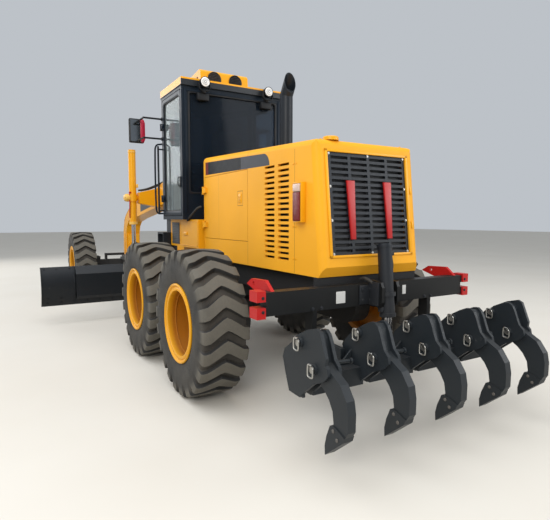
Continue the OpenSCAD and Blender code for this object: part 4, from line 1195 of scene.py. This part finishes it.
def seat_back(bm):
    lean = math.atan2(70, 620)
    c, s = math.cos(lean), math.sin(lean)
    for z0, z1, half, crown in ((2150, 2640, 230, 24), (2650, 2780, 150, 14)):
        part = bmesh.new()
        cushion(part, (-45, 45), (-half, half), (0, z1 - z0), crown, up=0)
        for v in part.verts:
            x, y, z = v.co
            v.co = Vector((1040 - (z0 - 2160) * 0.113 + x * c - z * s, y, z0 + z * c))
        absorb(bm, part)


@shape("rear", "trim")
def cab_controls(bm):
    """Levers in two fans beside the steering wheel with their boxes, the pedals and the instrument pod."""
    for s in BOTH:
        for k in range(4):
            y = s * (150 + k * 32)
            tube(bm, [(1745, y * 0.75, 2180), (1710, y, 2300), (1690, y * 1.04, 2395)], 6, 8)
            lathe(bm, [(-16, 0), (-12, 12), (4, 17), (20, 14), (28, 0)], (1688, y * 1.04, 2400), (-0.2, 0, 1), 14)
        block(bm, (1700, 1800), span(s, 112, 262), (2130, 2196), 12)
        prism(bm, [(1640, 1662), (1760, 1690), (1760, 1702), (1640, 1674)], "y", s * 200 - 45, s * 200 + 45, 4)
    block(bm, (1800, 1860), (-180, 180), (2280, 2420), 22, 3)


@shape("rear", "grey")
def cab_gauges(bm):
    for y in (-110, -37, 37, 110):
        lathe(bm, [(0, 0), (0, 26), (5, 28), (7, 24), (7, 0)], (1802, y, 2360), (-1, 0, 0.25), 24)


@shape("rear", "iron", "dark_plastic")
def base_panel_grille(bm):
    """Latticed panel on the cab base's left side."""
    block(bm, (1118, 1412), (600, 606), (1298, 1582), 5)
    for k in range(11):
        block(bm, (1138, 1392), (604, 610), (1322 + k * 22.5, 1333 + k * 22.5), 2, 1)


@shape("rear", "yellow")
def base_seams(bm):
    """Raised edges of the cab base's side doors, and the handle of the left one."""
    door = (470, 1080, 1290, 1600)
    for s in BOTH:
        ring(bm, inset(door, 0, 0, 0, 24), inset(door, 8, 8, 8, 18), "y", *span(s, 599, 604), 1.5)
    block(bm, (830, 950), (598, 612), (1420, 1460), 5)


@shape("rear", "hose")
def base_hose(bm):
    """The hose that hangs between the hood and the cab base."""
    tube(bm, [(446, 560, 1776), (470, 604, 1750), (560, 628, 1690), (680, 628, 1640), (760, 618, 1612),
              (802, 600, 1608)], 13, 10)


for side_name, s in SIDES:
    body = "cab_door_" + side_name
    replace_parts(piece("door_frame_" + side_name, body, "cab", door_frame, sides=(s,)), body)
for name, build in (("seat_cushion", seat_pan), ("seat_back_cushion", seat_back), ("seat_arm_pads", seat_arms)):
    obj = piece(name, "rear", "seat", build, sharp=60.0)
    if name == "seat_cushion":
        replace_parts(obj, "seat")


# ---- front frame, drawbar, circle and blade
HINGE_X = 2050.0
SADDLE = (3600.0, 590.0, 2000.0)
CIRCLE_X = 3500.0
DRAWBAR_TOP = 1085
TIP_PIN = (2930, 420)                           # x and z of the blade's tip pins
BLADE_CX, BLADE_CZ, BLADE_R, BLADE_SHEET = 3558.0, 575.0, 478.0, 20
SWING_REAR, SWING_FRONT, SWING_LONG = Vector((1480, 500, 1010)), Vector((2450, 290, 1010)), 640.0
KING = (AXLES["front"], 780.0)
TIE_X, TIE_Z = KING[0] - 135.0, 521.0


@shape("front", "hose")
def neck_hoses(bm):
    """Hose pair that climbs the front frame's arch, with its clamps."""
    for y in (58, 98):
        tube(bm, [(2206, y * 0.7, 1290), (2204, y, 1480), (2206, y, 1720), (2240, y, 1915), (2322, y, 2105),
                  (2450, y, 2238), (2620, y, 2300), (2900, y, 2306), (3220, y, 2300), (3420, y + 40, 2262),
                  (3500, y + 130, 2215), (3560, y + 260, 2160), (3590, y + 400, 2130)], 15, 10, 5)
    for x, z in ((2640, 2283), (3050, 2284)):
        block(bm, (x - 16, x + 16), (30, 126), (z - 30, z + 36), 4)


@shape("front", "yellow")
def hinge_caps(bm):
    """Covers on the ends of the articulation pin and of the front swing pins, and the saddle's bolts."""
    drum(bm, (HINGE_X, 0, 1326), UP, 92, 16, 4, 40)
    drum(bm, (HINGE_X, 0, 900), DOWN, 92, 14, 4, 40)
    for p in around((HINGE_X, 0, 1342), 68, 6, "xy"):
        bolt(bm, p, UP, 11)
    for s in BOTH:
        for p in around((SADDLE[0], s * 502, SADDLE[2]), 80, 8, "xz", 0.5):
            bolt(bm, p, (0, s, 0), 9)
        drum(bm, (SWING_FRONT.x, s * SWING_FRONT.y, 1078), UP, 36, 10, 3, 24)
        bolt(bm, (SWING_FRONT.x, s * SWING_FRONT.y, 1088), UP, 13)


@shape("front", "yellow")
def frame_welds(bm):
    """Weld beads along the front frame's side plates and ribs on its foot."""
    for s in BOTH:
        y = s * 151
        tube(bm, [(2250, y, 1250), (2252, y, 1690), (2290, y, 1880), (2365, y, 2058), (2480, y, 2178),
                  (2640, y, 2232), (3280, y, 2238), (3800, y, 2138), (5400, y, 1938), (5995, y, 1742),
                  (6210, y, 1588)], 5, 6, 4)
        block(bm, (6190, 6260), span(s, 149, 160), (800, 1320), 4)
        prism(bm, [(5500, 1642), (5840, 1572), (5870, 1600), (5520, 1690)], "y", *span(s, 149, 158), 3)


@shape("lift_barrel", "saddle", pair=True)
def trunnion_cap(bm):
    """Outer bearing cap, gland and port block of a lift cylinder, and its top's plug."""
    x, y, z = SADDLE
    lathe(bm, [(0, 0), (0, 66), (36, 70), (70, 66), (92, 50), (100, 26), (102, 0)], (x, y + 58, z), LEFT, 32)
    lathe(bm, [(0, 60), (0, 71), (44, 71), (50, 66), (50, 36)], (x, y, z - 418), DOWN, 36)
    lathe(bm, [(0, 60), (0, 67), (16, 67), (16, 60)], (x, y, z + 800), DOWN, 36)
    block(bm, (x - 34, x + 34), (y - 92, y - 52), (z + 180, z + 240), 5)


@shape("lift_barrel", "zinc", pair=True)
def trunnion_bolts(bm):
    x, y, z = SADDLE
    for p in around((x, y + 143, z), 50, 6, "xz"):
        bolt(bm, p, LEFT, 9)


@shape("lift_barrel", "red", pair=True)
def lift_pipe(bm):
    """The red pipe along a lift cylinder."""
    x, y, z = SADDLE
    tube(bm, [(x - 30, y + 64, z + 96), (x - 46, y + 66, z + 60), (x - 50, y + 66, z - 60), (x - 40, y + 68, z - 240),
              (x - 30, y + 66, z - 330), (x - 20, y + 58, z - 352)], 9, 8)
    block(bm, (x - 60, x - 10), (y + 40, y + 74), (z + 84, z + 104), 4)


@shape("drawbar", "under")
def drawbar_fittings(bm):
    """Motor of the circle drive with its cap, wear-plate bolts and the eye pins of the lift rods."""
    motor_x = CIRCLE_X - 330
    lathe(bm, [(0, 112), (0, 128), (18, 128), (18, 96), (70, 92), (78, 84), (78, 0)], (motor_x, 0, 1262), UP, 40)
    for p in around((motor_x, 0, 1280), 112, 8, "xy", 0.5):
        bolt(bm, p, UP, 8)
    for k in range(4):
        a = math.radians(45 + 90 * k)
        for r in (700, 760):
            for t in (-40, 40):
                p = (CIRCLE_X + r * math.cos(a) - t * math.sin(a), r * math.sin(a) + t * math.cos(a), DRAWBAR_TOP)
                if abs(p[1]) < 540:
                    bolt(bm, p, UP, 13)
    for s in BOTH:
        drum(bm, (SADDLE[0], s * 524, 1145), (0, -s, 0), 40, 10, 3, 24)
        for t in range(5):
            drum(bm, (CIRCLE_X - 540 + t * 270, s * 500, DRAWBAR_TOP), UP, 16, 6, 2, 16)


@shape("circle", "under")
def circle_teeth(bm):
    """The ring gear's teeth, and a plate on each arm of the circle."""
    for k in range(96):
        a = math.tau * k / 96
        c, s = math.cos(a), math.sin(a)
        made = bmesh.ops.create_cube(bm, size=1.0)["verts"]
        for v in made:
            taper = 0.62 if v.co.x < 0 else 1.0
            r, t, z = 674 + v.co.x * 34, v.co.y * 24 * taper, 957.5 + v.co.z * 48
            v.co = Vector((CIRCLE_X + r * c - t * s, r * s + t * c, z))
    for s in BOTH:
        prism(bm, [(2846, 760), (2862, 930), (2870, 930), (2936, 925), (2860, 740)], "y", *span(s, 524.5, 538), 2)


def blade_at(z, out):
    """X of the blade's rear side at height z, out from the sheet's rear face."""
    r = BLADE_R + BLADE_SHEET + out
    return BLADE_CX - math.sqrt(r * r - (z - BLADE_CZ) ** 2)


@shape("blade", "blade")
def blade_box(bm):
    """The smooth back plate between the slide rails and up to the top edge, with its end plates."""
    prism(bm, [(3020.6, 463), (3020.6, 717), (3034, 717), (3034, 463)], "y", -1638, 1638, 0)
    prism(bm, [(3021, 762), (blade_at(868, 22) - 12, 872), (blade_at(868, 22) + 2, 872), (3078, 772), (3078, 762)],
          "y", -1638, 1638, 3)
    prism(bm, [(3022, 418), (3034, 418), (blade_at(366, 22), 368), (blade_at(366, 22) - 10, 366)], "y", -1638, 1638, 3)
    for s in BOTH:
        pts = [(blade_at(372, 18), 372), (3030, 418), (3024, 430), (3024, 758), (blade_at(868, 22) - 8, 869),
               (blade_at(868, 0), 869)]
        pts += [(blade_at(z, -2), z) for z in (780, 700, 575, 470, 400, 372)]
        prism(bm, pts, "y", *span(s, 1628, 1640), 2)


@shape("blade", "blade")
def blade_bolts(bm):
    """End ribs and the cutting edge's nuts on the rear side, and plough-bolt heads in front."""
    def rear_nut(y, z, size):
        x = blade_at(z, 0)
        bolt(bm, (x - 0.5, y, z), (x - BLADE_CX, 0, z - BLADE_CZ), size)

    for s in BOTH:
        for y in (2118, 1652):
            y0, y1 = span(s, y, y + 13)
            arc = [(blade_at(z, 0), z) for z in range(300, 872, 57)]
            out = [(blade_at(z, 14), z) for z in range(300, 872, 57)]
            prism(bm, out + arc[::-1], "y", y0, y1, 2)
    for k in range(22):
        y = -2047 + k * 195
        for z in (318, 392):
            if z < 360 or abs(y) > 1650:
                rear_nut(y, z, 13)
            x = blade_at(z, -16 - BLADE_SHEET)
            lathe(bm, [(-1, 0), (-1, 17), (2, 17), (4, 12), (4, 0)], (x, y, z), (BLADE_CX - x, 0, BLADE_CZ - z), 18)
    for s in BOTH:
        for y in (1720, 1910, 2080):
            rear_nut(s * y, 852, 11)


@shape("blade_carrier", "under")
def rail_clamps(bm):
    """Clamps that hold the slide rails, and the caps of the tip pins."""
    for z in (500, 680):
        for y in (-400, 0, 400):
            block(bm, (2950, 3018), (y - 60, y + 60), (z - 30, z + 30), 6)
    bolts(bm, [2949], (-400, 400), (500, 680), BACK, 14)
    x, z = TIP_PIN
    for s in BOTH:
        drum(bm, (x, s * 524, z), (0, s, 0), 27, 3, 0.5, 28)
        drum(bm, (x, s * 526.5, z), (0, s, 0), 40, 12, 3, 28)
        bolt(bm, (x, s * 538, z), (0, s, 0), 14)


def swing_gland(s):
    """Gland and ports of an articulation cylinder."""
    def build(bm):
        a, b = SWING_REAR.copy(), SWING_FRONT.copy()
        a.y, b.y = a.y * s, b.y * s
        d = (b - a).normalized()
        lathe(bm, [(0, 46), (0, 54), (34, 54), (38, 50), (38, 28)], a + d * (SWING_LONG - 34), d, 32)
        for along in (120, SWING_LONG - 90):
            p = a + d * along
            block(bm, (p.x - 22, p.x + 22), (p.y - 22, p.y + 22), (p.z + 40, p.z + 66), 4)
            drum(bm, (p.x, p.y, p.z + 64), UP, 13, 26, 3, 6)
    return build


def king_caps(s):
    """A king pin's cap with its bolts and grease nipple, and the nut on the knuckle's steering pin."""
    def build(bm):
        x, y = KING[0], s * KING[1]
        drum(bm, (x, y, 798), UP, 58, 12, 3, 32)
        for p in around((x, y, 810), 40, 4, "xy", 0.5):
            bolt(bm, p, UP, 9)
        lathe(bm, [(0, 0), (0, 7), (8, 6), (16, 3), (16, 0)], (x, y, 810), UP, 10)
        drum(bm, (x + 200, y, 582), UP, 24, 12, 3, 6)
    return build


@shape("tie_rod", "under")
def tie_rod_ends(bm):
    for s in BOTH:
        y = s * KING[1]
        lathe(bm, [(0, 17), (6, 27), (12, 29), (18, 23), (20, 17)], (TIE_X, y - s * 60, TIE_Z), (0, -s, 0), 24)
        lathe(bm, [(0, 17), (0, 25), (34, 25), (34, 17)], (TIE_X, y - s * 100, TIE_Z), (0, -s, 0), 6)
        drum(bm, (TIE_X, y, 502), DOWN, 21, 12, 3, 6)


@shape("front", "hose")
def steering_hoses(bm):
    """Hoses from the front frame's foot to the steering cylinder."""
    for y, end in ((110, 150), (40, 430)):
        tube(bm, [(6330, y, 1000), (6400, y + 10, 900), (6440, y + 30, 720), (6436, end - 20, 600),
                  (6426, end, 548)], 10, 8)


@shape("rear", "under")
def tandem_covers(bm):
    """Inspection covers and pivot bolts on the tandem cases."""
    for s in BOTH:
        for x in (-420, 420):
            block(bm, (x - 120, x + 120), span(s, 690, 800), (862, 874), 4)
            bolts(bm, (x - 95, x + 95), (s * 708, s * 782), [874], UP, 9)
        for p in around((0, s * 639, WHEEL_Z), 140, 12, "xz"):
            if p[2] < WHEEL_Z + 126:
                bolt(bm, p, (0, -s, 0), 11)


@shape("rear", "under")
def swing_pin_heads(bm):
    x, y, z = SWING_REAR
    for s in BOTH:
        drum(bm, (x, s * y, z + 75), UP, 34, 10, 3, 24)
        bolt(bm, (x, s * y, z + 85), UP, 12)


for side_name, s in SIDES:
    piece("swing_gland_" + side_name, "swing_barrel_" + side_name, "charcoal", swing_gland(s))
    piece("king_cap_" + side_name, "knuckle_" + side_name, "under", king_caps(s))


# ---- floor, light and camera
CAM_AT = (-4.8756, 2.6699, 1.6191)   # metres from the tandem centre; fitted to the photograph with square pixels
CAM_YAW = math.radians(-30.47)
CAM_PITCH = math.radians(-4.91)
CAM_FOCUS_PX = 470.8
PHOTO_W = 550.0


def add_camera():
    cam = bpy.data.cameras.new("camera")
    cam.sensor_fit = "HORIZONTAL"
    cam.sensor_width = 36.0
    cam.lens = CAM_FOCUS_PX / PHOTO_W * 36.0
    cam.clip_end = 200.0
    obj = bpy.data.objects.new("camera", cam)
    flat = math.cos(CAM_PITCH)
    look = Vector((math.cos(CAM_YAW) * flat, math.sin(CAM_YAW) * flat, math.sin(CAM_PITCH)))
    obj.rotation_mode = "QUATERNION"
    obj.rotation_quaternion = look.to_track_quat("-Z", "Y")
    obj.location = Vector(CAM_AT) + Vector((FRAME_SHIFT * MM, 0, 0))
    bpy.context.scene.collection.objects.link(obj)
    bpy.context.scene.camera = obj


def add_floor():
    bm = bmesh.new()
    bmesh.ops.create_grid(bm, x_segments=2, y_segments=2, size=60.0)
    mesh = bpy.data.meshes.new("floor")
    bm.to_mesh(mesh)
    bm.free()
    obj = bpy.data.objects.new("floor", mesh)
    bpy.context.scene.collection.objects.link(obj)
    look = Look("pale_floor")
    tone = look.mix((0.60, 0.56, 0.49), (0.66, 0.63, 0.57), look.noise(0.6, 4.0))
    mesh.materials.append(look.done(tone, 0.85))


def add_light(name, kind, power, size, at, to, colour=(1.0, 1.0, 1.0)):
    data = bpy.data.lights.new(name, kind)
    data.energy = power
    data.color = colour
    if kind == "AREA":
        data.shape = "RECTANGLE"
        data.size, data.size_y = size
    else:
        data.angle = size
    obj = bpy.data.objects.new(name, data)
    obj.location = at
    obj.rotation_mode = "QUATERNION"
    obj.rotation_quaternion = (Vector(to) - Vector(at)).to_track_quat("-Z", "Y")
    bpy.context.scene.collection.objects.link(obj)


add_camera()
add_floor()
add_light("sky_panel", "AREA", 1350.0, (16.0, 12.0), (-3.0, 4.0, 11.0), (-1.0, 0.0, 0.5), (0.95, 0.97, 1.0))
add_light("key_panel", "AREA", 760.0, (6.0, 5.0), (-12.0, 9.0, 7.0), (-1.5, 0.0, 1.2), (1.0, 0.96, 0.90))
add_light("fill_panel", "AREA", 500.0, (8.0, 5.0), (-10.0, -8.0, 5.0), (-2.0, 0.0, 1.0))
add_light("far_panel", "AREA", 500.0, (8.0, 6.0), (12.0, 6.0, 6.0), (1.0, 0.0, 1.0))
world = bpy.data.worlds.new("soft_sky")
world.use_nodes = True
world.node_tree.nodes["Background"].inputs["Color"].default_value = (0.82, 0.87, 0.93, 1.0)
world.node_tree.nodes["Background"].inputs["Strength"].default_value = 0.62
bpy.context.scene.world = world
bpy.context.scene.view_settings.view_transform = "Standard"
